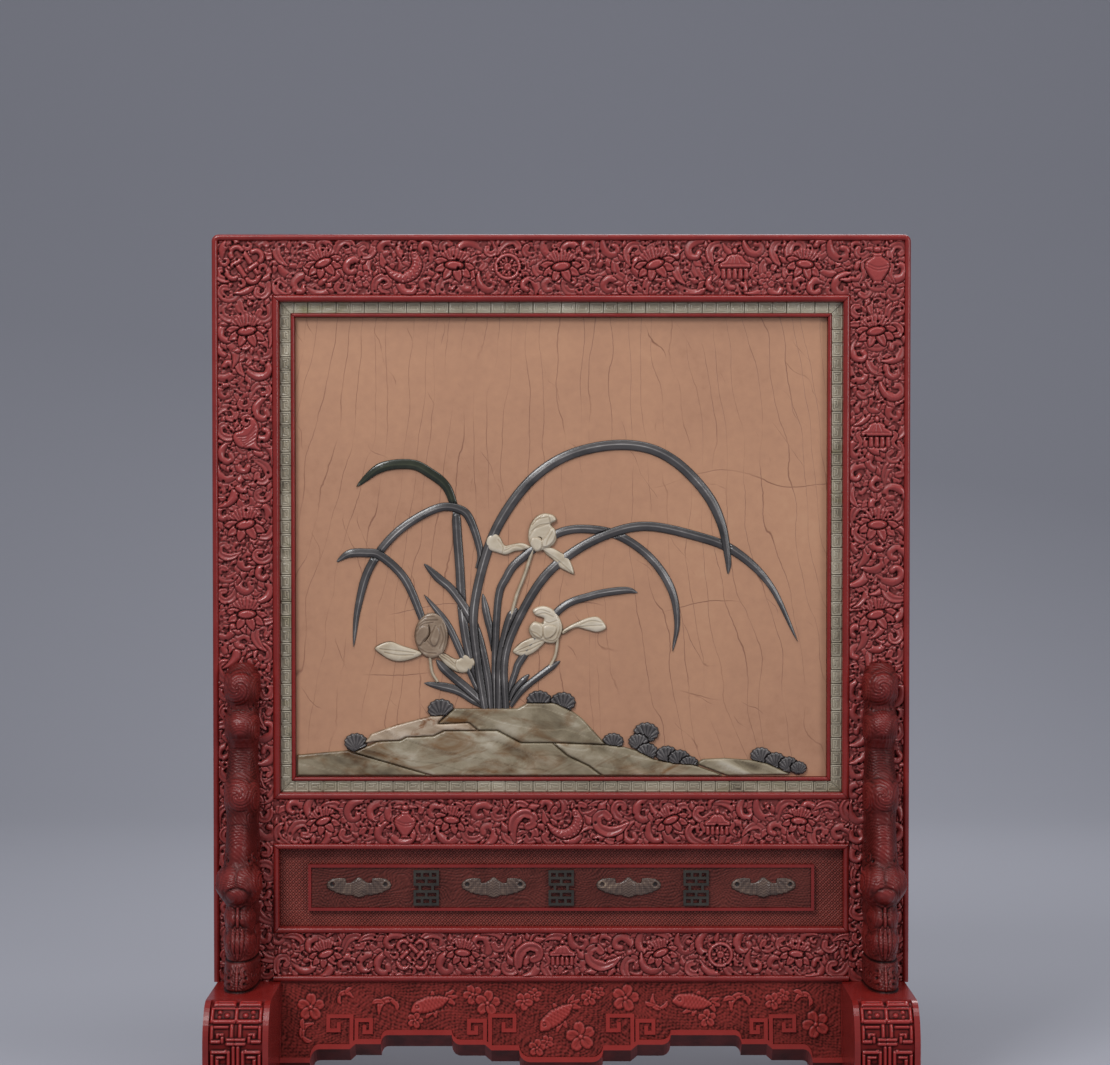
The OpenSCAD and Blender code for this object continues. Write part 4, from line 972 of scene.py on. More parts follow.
# Carving on its sides, from the post outward
def spandrelSide():
    form = spandrelForm
    f = newField(form["deep"], form["high"], form["pitch"], form["ground"])
    for k in range(5):
        curl(f, 6 + 11 * k, 13, 5.4, 0.9 * k, 1 if k % 2 else -1, 2.8)
    for k in range(14):
        lock(f, [(2 + 3.8 * k, 29), (4 + 3.6 * k, 42), (2 + 3.8 * k, 55)], 2.2, 2.5 + 0.2 * (k % 2))
    hairs(f, 10, 150, 6, 60, 2.4, -1.5, 1.5)
    for k in range(5):
        curl(f, 7 + 7.5 * k, 114 + 4 * (k % 2), 4.8, 1.3 * k, 1 if k % 2 else -1, 2.6)
        curl(f, 5 + 6 * k, 249 + 3 * (k % 2), 3.8, 1.1 * k, 1 if k % 2 else -1, 2.5)
    for depth, height, r in form["rolls"]:
        whirl(f, depth, height, r * 0.96, 0.6, 1 if height > 100 else -1, 2.9)
    hairs(f, 0, 190, 8, 34, 2.3, -0.2, 1.1)
    for z in (1.5, 26.5):
        groove(f, [(0, z), (form["deep"], z)], 1.5, 2.0)
    f["h"] = soften(f["h"] + toolMarks(f, form["sideSeed"], form["marks"]), 1)
    return f


# Heights of a field at any points
def sampleField(f, x, z):
    h = f["h"]
    rows, cols = h.shape
    u = np.clip(x / f["w"] * (cols - 1), 0, cols - 1.001)
    v = np.clip(z / f["t"] * (rows - 1), 0, rows - 1.001)
    i, j = u.astype(int), v.astype(int)
    a, b = u - i, v - j
    lower = h[j, i] * (1 - a) + h[j, i + 1] * a
    upper = h[j + 1, i] * (1 - a) + h[j + 1, i + 1] * a
    return lower * (1 - b) + upper * b


# Points and outward directions round three sides of a rounded box, from seat to seat, closest at the front
def roundSection(half, depth, count):
    turn = np.linspace(-math.pi / 2, math.pi / 2, 400)
    power = 2 / spandrelForm["corner"]
    x = half * np.sign(np.sin(turn)) * np.abs(np.sin(turn)) ** power
    y = depth * np.abs(np.cos(turn)) ** power
    run = np.concatenate([[0], np.cumsum(np.hypot(np.diff(x), np.diff(y)))])
    v = np.linspace(-1, 1, count)
    even = run[-1] * (0.5 + 0.3 * v + 0.2 * v ** 3)
    x, y = np.interp(even, run, x), np.interp(even, run, y)
    nx, ny = np.gradient(y), -np.gradient(x)
    length = np.hypot(nx, ny) + 1e-9
    return x, y, -nx / length, -ny / length


# Sections stacked up the height, swollen by the carved fields of front and side
def makeSpandrel(name, node, sideX, back):
    form, size = spandrelForm, spandrelForm["back" if back else "front"]
    z = np.linspace(0, form["high"], size["rows"])
    depth = np.interp(z, [p[1] for p in form["side"]], [p[0] for p in form["side"]])
    half = np.interp(z, [p[1] for p in form["half"]], [p[0] for p in form["half"]])
    for d, height, r in form["rolls"]:
        ball = d + np.sqrt(np.maximum(r * r - (z - height) ** 2, 0))
        depth = np.where(np.abs(z - height) < r, np.maximum(depth, ball), depth)
    reach = round(form["melt"] / form["high"] * size["rows"])
    depth = np.convolve(np.pad(depth, reach, "edge"), np.ones(2 * reach + 1) / (2 * reach + 1), "valid")
    points = np.zeros((size["rows"], size["around"] + 1, 3))
    relief = np.zeros((size["rows"], size["around"] + 1))
    for k, (w, d) in enumerate(zip(half, depth)):
        x, y, nx, ny = roundSection(w, d, size["around"])
        extra = max(w - form["body"], 0)  # what is wider than the body stands at the front alone
        x = x * (w - extra + extra * np.clip((y / d - 0.3) / 0.35, 0, 1)) / w
        high = np.full_like(x, z[k])
        ahead = sampleField(frontField, x + form["wide"] / 2, high)
        aside = sampleField(sideField, y, high)
        cut = ahead * ny ** 2 + aside * nx ** 2
        ends = np.clip(min(z[k], form["high"] - z[k]) / 2, 0, 1)
        grow = (cut - form["level"]) * np.clip(y / 4, 0, 1) * ends
        px, py = x + nx * grow, np.maximum(y + ny * grow, 0) + size["seatY"]
        px, py = sideX * form["postX"] + px, py if back else -py
        points[k, :-1] = np.column_stack([px, py, form["footTop"] + high])
        # The carved height becomes painted light and shade: lighter on the swellings, painted shade in the
        # cuts
        relief[k, :-1] = np.clip((cut - 0.2) / 2.9, 0, 1)
    points[:, -1] = points[:, 0]
    relief[:, -1] = relief[:, 0]
    relief = np.clip(0.1 + 0.6 * relief + 0.8 * (relief - soften(relief, 8)), 0, 1)
    bm = bmesh.new()
    bmesh.ops.remove_doubles(bm, verts=list(addGrid(bm, points, relief)), dist=1e-7)
    closeHoles(bm)
    makePiece(bm, name, "beastLacquer", "red_lacquer", node)


frontField, sideField = spandrelFront(), spandrelSide()
for sideName, sideX in (("left", -1), ("right", 1)):
    makeSpandrel("front" + sideName.title() + "Beast", "front_" + sideName + "_spandrel", sideX, False)
    makeSpandrel("back" + sideName.title() + "Beast", "back_" + sideName + "_spandrel", sideX, True)
print("spandrels carved")


# Feet: a fret mask on the rounded front and back

footForm = {"wide": 47.0, "x": 282.0, "frontY": 119.5, "low": 26.0, "straight": 41.0,
            "shoulder": (23.5, 33.5), "pitch": 0.7, "top": 2.15, "bottom": -0.8}
# Bars and beads of the right half of the mask, from the middle of its upper edge; each ends in its half width
footBars = [
    # Long box
    ([(1.2, -24), (21.2, -24)], 1.9), ([(1.2, -11.6), (21.2, -11.6)], 1.0), ([(21, -24), (21, -11.6)], 1.3),
    # Hooks
    ([(7.5, -28.6), (20.8, -28.6)], 1.2), ([(20.8, -28.6), (20.8, -41)], 1.4),
    ([(20.8, -41), (11.6, -41)], 1.5), ([(11.6, -41), (11.6, -35)], 1.4), ([(11.6, -35), (15.8, -35)], 1.3),
    ([(15.8, -35), (15.8, -37)], 1.2),
    # Brow
    ([(3.6, -27.4), (3.6, -37)], 1.5), ([(0, -39.4), (7.4, -39.4)], 1.3), ([(0, -43), (7.4, -43)], 1.3),
]
footEdge = 20.6
footSpirals = [(19, 14.5, 17, 1.4), (2.5, 15, 13, 1.35)]  # height, width, rise and half width of the bars
footBeads = [(8.0, -18.4, 2.3), (14.4, -15.6, 1.9), (14.6, -20, 1.5), (8.6, -50, 2.3)]


# A key fret: bars that turn inward at right angles, fewer of them where there is less room
def squareSpiral(f, x, z, w, h, flip, bar, top):
    p = 3.2 * bar
    turns = [(0, 0), (0, h), (-w, h), (-w, p), (-p, p), (-p, h - p), (-w + p, h - p), (-w + p, 2 * p),
             (-2 * p, 2 * p)]
    count = 8 if w > 4 * p else 6 if w > 2.4 * p else 4
    for a, b in zip(turns[:count], turns[1:count + 1]):
        stroke(f, [(x + flip * a[0], z + a[1]), (x + flip * b[0], z + b[1])], [bar], top, "round", 0.3, 0.1)


# Mask of frets and beads, the same on both halves
def footField():
    wide, top = footForm["wide"], footForm["top"]
    curve = [(math.sin(a), math.cos(a)) for a in np.linspace(0, math.pi / 2, 40)]
    dy, dz = footForm["shoulder"]
    arcRun = sum(math.hypot(dy * (b[0] - a[0]), dz * (b[1] - a[1])) for a, b in zip(curve[:-1], curve[1:]))
    f = newField(wide, footForm["straight"] + arcRun, footForm["pitch"])
    mid, high = wide / 2, f["t"]
    f["h"] += 0.25 + 0.1 * np.sin(f["x"] * 2.6) * np.sin(f["z"] * 2.6)

    def fromTop(s, pts):
        return [(mid + s * x, high + z) for x, z in pts]

    for s in (-1, 1):
        plate(f, fromTop(s, [(1.4, -8.8), (20.8, -8.8), (20.8, -1.2), (1.4, -1.2)]), top, 1.4)
        groove(f, fromTop(s, [(4.5, -4.6), (16.5, -4.6)]), 1.2, 1.6)
        for line, half in footBars:
            stroke(f, fromTop(s, line), [half], top, "round", 0.35, 0.1)
        for x, z, r in footBeads:
            dome(f, mid + s * x, high + z, r, r, 0, top, "round", 0.4, 0.1)
        for z, across, rise, bar in footSpirals:
            squareSpiral(f, mid + s * footEdge, z, across, rise, s, bar, top)
        stroke(f, [(mid + s * 1.9, 2), (mid + s * 1.9, high - 46)], [1.4], top, "round", 0.35, 0.1)
    stroke(f, [(mid, high - 23), (mid, high - 12)], [1.4], top, "round", 0.35, 0.1)
    f["h"] = soften(f["h"], 1)
    return f


# Wraps a field from the cove up the upright front and over the shoulder
def onFoot(sideX, back):
    form = footForm
    dy, dz = form["shoulder"]
    a = np.linspace(0, math.pi / 2, 120)
    ey, ez = form["frontY"] - dy + dy * np.cos(a), form["low"] + form["straight"] + dz * np.sin(a)
    run = form["straight"] + np.concatenate([[0], np.cumsum(np.hypot(np.diff(ey), np.diff(ez)))])

    def place(x, s, h):
        over = s > form["straight"]
        turn = np.where(over, np.interp(s, run, a), 0)
        ny, nz = np.cos(turn) / dy, np.sin(turn) / dz
        size = np.hypot(ny, nz)
        ny, nz = np.where(over, ny / size, 1), np.where(over, nz / size, 0)
        y = np.where(over, form["frontY"] - dy + dy * np.cos(turn), form["frontY"]) + ny * h
        z = np.where(over, form["low"] + form["straight"] + dz * np.sin(turn), form["low"] + s) + nz * h
        return sideX * form["x"] - form["wide"] / 2 + x, y if back else -y, z
    return place


maskField = footField()
for sideName, sideX in (("left", -1), ("right", 1)):
    for back in (False, True):
        name = sideName + ("Back" if back else "Front") + "FootMask"
        carvedSlab(name, maskField, onFoot(sideX, back), footForm["bottom"], "footLacquer", "red_lacquer")
print("feet carved")


# Aprons: wave ground with low flowers, fish and leaves inside the lip

apronForm = {"lean": math.radians(10), "y": -18.0, "top": 103.0, "floor": 2.2, "sunk": 0.8, "half": 253.35,
             "drop": 72.0, "lip": 4.5, "lap": 0.6, "topGap": 0.4, "endGap": 0.3, "pitch": 0.66,
             "backPitch": 1.0, "high": 1.85, "wave": 2.3, "eddies": 60, "eddyReach": (7, 16), "marks": 0.04,
             "carved": (0.05, 1.95), "waveSeed": 32, "markSeed": 33, "toneSeed": 34}
# Right half of the lower edge: distance from the middle and depth below the top
apronSteps = [(0, 71.5), (28, 71.5), (31.1, 71), (33.9, 69.5), (36.1, 67.3), (37.5, 64.4), (38, 61),
              (63, 61), (69, 56), (91, 56), (93.5, 55.6), (95.7, 54.4), (97.5, 52.5), (98.6, 50.1),
              (99, 47.5), (157, 47.5), (158.9, 47.9), (160.5, 49), (161.9, 50.8), (162.7, 53), (163, 55.5),
              (186, 55.5), (191, 60), (219, 60), (221.5, 60.6), (223.7, 62.3), (225.5, 64.9), (226.6, 68.3),
              (227, 72), (254, 72)]


# Open blossom of broad flat petals, each scored from the middle
def blossom(f, x, z, r, turn, flip, top):
    pen = Pen(f, x, z, r, 0, 1, top)
    for k, (a, ray) in enumerate(rays(5, turn)):
        share = 0.84 + 0.08 * (k % 2)
        pen.stroke([0.2 * ray, 0.5 * ray, 0.68 * ray], (0.14, 0.4, 0.38), share, "scoop", 0.5, 0.15)
        for b in (a - 0.3, a, a + 0.3):
            pen.groove([0.25 * ray, (0.85 * math.cos(b), 0.85 * math.sin(b))], 0.7, 0.3)
        pen.pit(1.08 * ray, 0.13, 0.15)
    pen.dome((0, 0), 0.17, 0.17, 1, "round", 0.4)


def twinBlossom(f, x, z, r, turn, flip, top):
    blossom(f, x + 0.6 * r * flip, z + 0.35 * r, 0.62 * r, turn + 0.5, flip, top * 0.9)
    blossom(f, x - 0.35 * r * flip, z - 0.2 * r, 0.8 * r, turn, flip, top)


# Plump carp: netted scales, gill line, fan tail and fins
def carp(*seat):
    pen = Pen(*seat)
    for x, z in ((1.45, 0.5), (1.55, 0.12), (1.35, -0.25)):
        ray = [(0.85, 0.12), (1.15, 0.1 + 0.5 * z), (x, z)]
        pen.stroke(ray, (0.12, 0.17, 0.08), 0.8, "scoop", 0.4, 0.15)
    for x, z in ((0.25, 0.72), (0.1, -0.7), (-0.45, -0.62)):
        pen.stroke([(0.1 + 0.3 * x, 0.5 * z), (x, z)], (0.2, 0.08), 0.75, "scoop", 0.4, 0.15)
    body = [(-1.15, -0.05), (-0.75, 0.05), (-0.1, 0.08), (0.5, 0.08), (1.0, 0.12)]
    pen.stroke(body, (0.12, 0.4, 0.5, 0.38, 0.12), 1, "flat", 0.5, 0.15, 4)
    for k in range(7):
        x = -0.4 + 0.22 * k
        for lean in (-0.26, 0.26):
            pen.groove([(x - lean, -0.42), (x + lean, 0.52)], 0.95, 0.42)
    pen.groove(arc(-0.95, 0.02, 0.42, -1.0, 1.0, 8), 0.8, 0.7)
    pen.dome((-0.86, 0.12), 0.1, 0.1, 1.05, "round", 0.4, 0.4 * pen.top)


# Bent leaf spray with scored blades
def spray(*seat):
    pen = Pen(*seat)
    for pts, wide in (([(-0.9, -0.2), (-0.3, 0.35), (0.4, 0.3), (0.9, -0.35)], 0.26),
                      ([(0.1, 0.3), (0.5, 0.65), (0.95, 0.7)], 0.2),
                      ([(-0.5, 0.2), (-0.75, -0.35), (-0.6, -0.75)], 0.18)):
        pen.stroke(pts, (0.06, wide, wide, 0.05), 1, "scoop", 0.45, 0.15, 5)
        pen.groove(pts, 0.6, 0.35, 5)


# Motifs are placed from the middle of the apron and down from its top, then come reach and turn
apronMotifs = [(blossom, -226.35, 22.86, 12, 0.3), (spray, -195.75, 12.96, 8, 0.2),
               (spray, -229.95, 44.46, 10, 1.2), (spray, -157.95, 21.06, 11, 0.5),
               (carp, -117.45, 21.06, 15, 0.25), (blossom, -131.85, 34.56, 7, 0.0),
               (twinBlossom, -71.55, 16.56, 14, 0.2), (twinBlossom, -30.15, 15.66, 10, 1.0),
               (carp, -3.15, 31.86, 15.5, 0.6), (blossom, 17.55, 48.96, 13, 0.5),
               (twinBlossom, -18.45, 57.06, 9.5, 0.2), (twinBlossom, 28.35, 12.96, 9, 0.4),
               (blossom, 58.05, 14.76, 12, 0.1), (spray, 86.85, 19.26, 9, 2.4),
               (carp, 119.25, 19.26, 15, -0.15), (spray, 159.75, 17.46, 11, 0.6),
               (blossom, 131.85, 32.76, 8, 0.4), (twinBlossom, 194.85, 15.66, 9.5, 0.0),
               (spray, 219.15, 14.76, 9, 0.0), (blossom, 229.95, 38.16, 12, 0.7)]


def apronField(pitch):
    form = apronForm
    f = newField(2 * form["half"], form["drop"], pitch)
    f["h"] += 0.2 + 0.2 * swirls(f, form["waveSeed"], form["wave"], form["eddies"], form["eddyReach"])
    for k, (motif, x, down, size, turn) in enumerate(apronMotifs):
        flip = 1 if k % 3 else -1
        motif(f, form["half"] + x, form["drop"] - down, size, turn, flip, form["high"])
    f["tone"] = np.where(f["used"], -0.06, -0.13 + 0.1 * toolMarks(f, form["toneSeed"], 1.0))
    f["h"] = np.clip(soften(f["h"] + toolMarks(f, form["markSeed"], form["marks"]), 1), *form["carved"])
    return f


# The field stops inside the lip, so cells of the grid outside it are left out
def makeApron(name, back):
    form = apronForm
    f = apronField(form["backPitch"] if back else form["pitch"])
    right = np.array([(x * form["half"] / apronSteps[-1][0], -d) for x, d in apronSteps])
    line = np.vstack([right[::-1] * [-1, 1], right[1:]])
    ends = [[form["half"], -form["topGap"]], [-form["half"], -form["topGap"]]]
    outline = np.vstack([line + [0, form["lip"] - form["lap"]], ends])
    x, z = f["x"] - form["half"], f["z"] - form["drop"]
    _, inside, _, _ = outlineReach(outline, x, z)
    inside &= np.abs(x) < form["half"] - form["endGap"]
    bm = bmesh.new()
    cell = addGrid(bm, np.dstack([x, form["floor"] - f["h"], z]), reliefOf(f))
    bmesh.ops.delete(bm, geom=[v for v, at in cell.items() if not inside[at]], context="VERTS")
    dropRim(bm, [e for e in bm.edges if e.is_boundary], form["floor"] + form["sunk"])
    c, s = math.cos(form["lean"]), math.sin(form["lean"])
    for v in bm.verts:
        y, h = v.co.y, v.co.z
        front = form["y"] * mm + y * c + h * s
        v.co.y, v.co.z = (-front if back else front), form["top"] * mm + h * c - y * s
    makePiece(bm, name, "apronLacquer", "dark_lacquer")


makeApron("frontApronCarving", False)
makeApron("backApronCarving", True)
print("aprons carved")


# Waist: diaper ground round the plaque, wave field inside it, bats

waistForm = {"groundY": -8.0, "inX": 255.0, "low": 152.0, "high": 223.0, "plaqueX": 229.0,
             "plaqueLow": 166.5, "plaqueHigh": 208.5, "cell": 5.4, "pitch": 0.55, "bottom": -0.8}


# Net of small lozenges with a seed in each
def diaper(f, x0, z0):
    u, v = (f["x"] + x0) / waistForm["cell"], (f["z"] + z0) / waistForm["cell"]
    a, b = np.abs((u + v) % 1 - 0.5), np.abs((u - v) % 1 - 0.5)
    mesh = np.clip((np.maximum(a, b) - 0.3) / 0.12, 0, 1)
    seed = np.clip((0.3 - np.hypot(a, b)) / 0.12, 0, 1)
    f["h"] += 0.15 + 0.75 * np.maximum(mesh, seed)


def makeDiaper(name, x0, z0, x1, z1):
    def place(x, z, h):
        return x0 + x, waistForm["groundY"] - h, z0 + z
    ground = newField(x1 - x0, z1 - z0, waistForm["pitch"])
    diaper(ground, x0, z0)
    carvedSlab(name, ground, place, waistForm["bottom"], "waistLacquer", "dark_lacquer")


w = waistForm
makeDiaper("waistLowerDiaper", -w["inX"], w["low"], w["inX"], w["plaqueLow"])
makeDiaper("waistUpperDiaper", -w["inX"], w["plaqueHigh"], w["inX"], w["high"])
makeDiaper("waistLeftDiaper", -w["inX"], w["plaqueLow"], -w["plaqueX"], w["plaqueHigh"])
makeDiaper("waistRightDiaper", w["plaqueX"], w["plaqueLow"], w["inX"], w["plaqueHigh"])

plaqueForm = {"x": 226.3, "low": 169.2, "high": 205.8, "y": -11.7, "pitch": 0.6, "bottom": -0.6,
              "wave": 2.2, "eddies": 70, "eddyReach": (5, 11), "marks": 0.1, "waveSeed": 41, "markSeed": 42}
waves = newField(2 * plaqueForm["x"], plaqueForm["high"] - plaqueForm["low"], plaqueForm["pitch"])
eddies = swirls(waves, plaqueForm["waveSeed"], plaqueForm["wave"], plaqueForm["eddies"],
                plaqueForm["eddyReach"])
waves["h"] += 0.3 + 0.22 * eddies + toolMarks(waves, plaqueForm["markSeed"], plaqueForm["marks"])


def onPlaque(x, z, h):
    return x - plaqueForm["x"], plaqueForm["y"] - h, plaqueForm["low"] + z


carvedSlab("plaqueWaves", waves, onPlaque, plaqueForm["bottom"], "plaqueLacquer", "red_lacquer")

batForm = {"half": [(0, 9.3), (1.6, 9), (3.8, 7), (7.6, 4.4), (11.2, 4.1), (12.1, 8.3), (17.3, 8.8),
                    (24.4, 8), (28.4, 5.3), (29.5, 2.2), (28.4, -0.9), (25.2, -2.7), (22.6, -3.6),
                    (21.3, -4.9), (18.6, -4.9), (17.2, -6.1), (13.8, -6.2), (12, -7.2), (8.6, -6.9),
                    (6.3, -7), (4.2, -8.4), (0, -9.2)],
           "eye": (24, 2.9), "eyeReach": 1.9, "ringReach": 2.9, "pitch": 0.42, "top": 2.6, "z": 187.5,
           "step": 61.07, "frontY": -12.2, "backY": -11.5}


# Bats: round body, netted wings with low ribs, drilled tips with a raised ring; the drilled holes are painted
# dark as shade
def makeBat(index, place):
    right = np.array(batForm["half"], float)
    outline = np.vstack([right, right[-2:0:-1] * [-1, 1]])
    cx, cz = place * batForm["step"], batForm["z"]

    def rise(x, z, away):
        px, pz = np.abs(x - cx), z - cz
        body = np.sqrt(np.clip(1 - (px / 6) ** 2 - ((pz + 1) / 9) ** 2, 0, 1))
        ribs = np.cos(np.arctan2(pz - 16, px - 6) * 26 + 0.4 * np.sin(px)) * (px > 5)
        ribs = ribs * np.clip((22 - px) / 2, 0, 1)
        fur = np.cos(pz * 2.6 + 2 * np.cos(px * 1.3)) * (px < 5)
        hole = np.hypot(px - batForm["eye"][0], pz - batForm["eye"][1])
        ring = np.exp(-((hole - batForm["ringReach"]) / 0.8) ** 2)
        net = np.sin(1.9 * px + 1.5 * pz) * np.sin(1.9 * px - 1.5 * pz) * (px > 5)
        soft = np.clip(away / 1.2, 0, 1)
        carved = 0.14 * ribs + 0.16 * net + 0.14 * fur + 0.4 * ring
        height = 0.5 + 0.9 * np.sqrt(soft) + 0.9 * body + carved * soft
        tone = np.clip(0.25 + 0.3 * soft + 0.12 * ribs + 0.26 * net + 0.22 * fur + 0.25 * ring, 0, 1)
        height = np.minimum(np.where(hole < batForm["eyeReach"], 0.05, height), batForm["top"])
        return height, tone * (hole > batForm["eyeReach"])

    bm = bmesh.new()
    cutSlab(bm, outline + [cx, cz], batForm["pitch"], rise, batForm["frontY"], batForm["backY"])
    makePiece(bm, "jadeBat%d" % index, "batStone", "celadon_stone", "bat_%d" % index)


for index, place in enumerate((-3, -1, 1, 3), 1):
    makeBat(index, place)
print("waist finished")


# Border of small stones, each with two square scrolls

borderForm = {"x": 253.7, "low": 274.3, "high": 716.7, "wide": 10.0, "tile": 25.0, "frontY": -11.0,
              "bottom": -5.5, "bar": 0.5, "top": 1.0, "pitch": 0.5, "margin": 0.9, "inset": 1.9,
              "corner": 12.5}


def boxFrame(f, x0, z0, x1, z1, bar, top):
    for line in ([(x0, z0), (x1, z0)], [(x1, z0), (x1, z1)], [(x1, z1), (x0, z1)], [(x0, z1), (x0, z0)]):
        stroke(f, line, [bar], top, "round", 0.3, 0.1)


# Two framed frets on each stone; stones differ in height and tone about the side's tone, which is painted
# light and shade, and joints are cut between them
def borderField(length, seed, tone):
    form, inset = borderForm, borderForm["inset"]
    f = newField(length, form["wide"], form["pitch"], 0.3)
    rng = random.Random(seed)
    count = int(round(length / form["tile"]))
    tile = length / count
    z0, z1 = form["margin"], form["wide"] - form["margin"]
    for k in range(count):
        for c in range(2):
            x0, x1 = k * tile + c * tile / 2 + form["margin"], k * tile + (c + 1) * tile / 2 - form["margin"]
            flip = 1 if (k + c) % 2 else -1
            start = (x1 if flip > 0 else x0) - flip * inset
            boxFrame(f, x0, z0, x1, z1, form["bar"], form["top"])
            wide, high = x1 - x0 - 2 * inset, z1 - z0 - 2 * inset
            squareSpiral(f, start, z0 + inset, wide, high, flip, form["bar"], form["top"])
    f["h"] = soften(f["h"], 1)
    f["tone"] = np.zeros_like(f["h"])
    for k in range(count):
        part = window(f, (k * tile, 0), ((k + 1) * tile, 99))
        f["h"][part] += rng.uniform(-0.12, 0.12)
        f["tone"][part] = tone + rng.uniform(-0.26, 0.26)
    for k in range(2 * count + 1):
        groove(f, [(k * tile / 2, -1), (k * tile / 2, 11)], 0.6, 0.8 if k % 2 else 1.4)
    f["h"] = np.clip(f["h"], -0.6, 1.1)
    return f


# A row of stones, drawn in at its ends to the mitre
def makeBorder(name, node, length, tone, place):
    wide, corner = borderForm["wide"], borderForm["corner"]

    def mitred(a, t, h):
        run, core = np.abs(a - length / 2), length / 2 - corner
        run = np.where(run > core, core + (run - core) * (corner - np.clip(t, 0, wide)) / corner, run)
        return place(np.sign(a - length / 2) * run, t, borderForm["frontY"] - h)

    stones = borderField(length, len(name), tone)
    carvedSlab(name, stones, mitred, borderForm["bottom"], "celadonStone", "celadon_stone", node)


b = borderForm
midZ, wide, tall = (b["low"] + b["high"]) / 2, 2 * b["x"], b["high"] - b["low"]
# Each side's tone is painted light and shade: the top lighter, the left darkest, the right a little darker
makeBorder("jadeBorderBottom", "border_bottom", wide, 0.0, lambda a, t, y: (a, y, b["low"] + t))
makeBorder("jadeBorderTop", "border_top", wide, 0.46, lambda a, t, y: (-a, y, b["high"] - t))
makeBorder("jadeBorderLeft", "border_left", tall, -0.3, lambda a, t, y: (-b["x"] + t, y, midZ - a))
makeBorder("jadeBorderRight", "border_right", tall, -0.1, lambda a, t, y: (b["x"] - t, y, midZ + a))
print("border laid")


# Picture inlay: points in millimetres from the middle of the ground's lower edge

inlay = {"low": 289.7, "groundY": -7.0, "sunk": -6.4, "petalPitch": 0.42, "rockPitch": 0.9, "mossPitch": 0.6,
         "hoodHigh": 4.6, "petalHigh": 3.9, "stoneEdge": 1.2, "stoneSwell": 1.9, "rockRound": 1.6,
         "mossRound": 2.4}


def onGround(pts):
    return np.asarray(pts, float) + [0, inlay["low"]]


# Leaves: half width, then the middle line from root to tip; a later leaf passes over an earlier one
leafLines = [
    (3.3, [(-67, 59), (-73, 73), (-90, 109), (-103, 136), (-124, 163)]),
    (4.2, [(-66, 59), (-72, 80), (-83, 109), (-89, 143), (-92, 191), (-93.5, 210), (-94.5, 226), (-95, 236),
           (-95.5, 243)]),
    (4.6, [(-95.5, 240), (-104, 261), (-120, 274), (-136, 281), (-163, 278), (-185, 261)]),
    (4.0, [(-70, 62), (-80, 68), (-96, 77), (-124, 83)]),
    (3.4, [(-61, 112), (-63, 127), (-67, 143), (-71, 164)]),
    (3.9, [(-60, 59), (-60, 103), (-57, 159), (-50, 178), (-38, 194), (-2, 219), (30, 222), (57, 214),
           (83, 194), (100, 167), (105, 138), (101, 112)]),
    (3.6, [(-52, 59), (-42, 91), (-35, 106), (-2, 149), (27, 162), (57, 167), (69, 165)]),
    (3.0, [(-46, 67), (-41, 78), (-29, 91)]),
    (3.2, [(-46, 62), (-35, 77), (-15, 93), (-1, 103)]),
    (4.0, [(-68, 62), (-84, 77), (-103, 93), (-113, 104)]),
    (4.6, [(-56, 59), (-54, 104), (-47, 138), (-40, 151)]),
    (3.9, [(-64, 59), (-67, 91), (-78, 134), (-97, 165), (-112, 179), (-124, 191)]),
    (3.9, [(-75, 187), (-73, 201), (-81, 228), (-91, 240), (-113, 241), (-148, 220), (-173, 188),
           (-184, 151), (-188, 116)]),
    (4.0, [(-121, 123), (-128, 147), (-142, 178), (-163, 198), (-177, 201), (-192, 200), (-203, 193)]),
    (4.3, [(-50, 59), (-51, 104), (-40, 138), (-17, 177), (10, 201), (43, 218), (77, 225), (119, 217),
           (156, 203), (189, 172), (214, 121)]),
    (4.7, [(-69, 59), (-76, 105), (-79, 149), (-67, 202), (-50, 238), (-25, 269), (6, 289), (43, 298),
           (77, 296), (105, 282), (131, 255), (145, 227), (151, 195), (151, 182)]),
]
bladeForm = {"step": 1.3, "edge": 0.7, "crown": 2.2, "crest": 0.125, "around": 17, "under": 0.25,
             "sunk": -0.6, "seam": 0.35, "root": 0.72, "tip": 0.2, "darkLeaf": 3}


# Middle line of a leaf or stem at even steps, and its half width along it
def bladeLine(line, half, plain=False):
    q = smoothLine(onGround(line), 12)
    t = np.linspace(0, 1, len(q))
    root, tip = bladeForm["root"], bladeForm["tip"]
    share = np.minimum(np.minimum(root + (1 - root) * t / 0.3, 1), np.sqrt(np.clip((1 - t) / tip, 0, None)))
    if plain:
        share = np.ones_like(t)
    run = np.concatenate([[0], np.cumsum(np.hypot(*np.diff(q, axis=0).T))])
    even = np.linspace(0, run[-1], int(run[-1] / bladeForm["step"]) + 2)
    q = np.column_stack([np.interp(even, run, q[:, 0]), np.interp(even, run, q[:, 1])])
    return q, np.maximum(np.interp(even, run, half * share), 0.35)


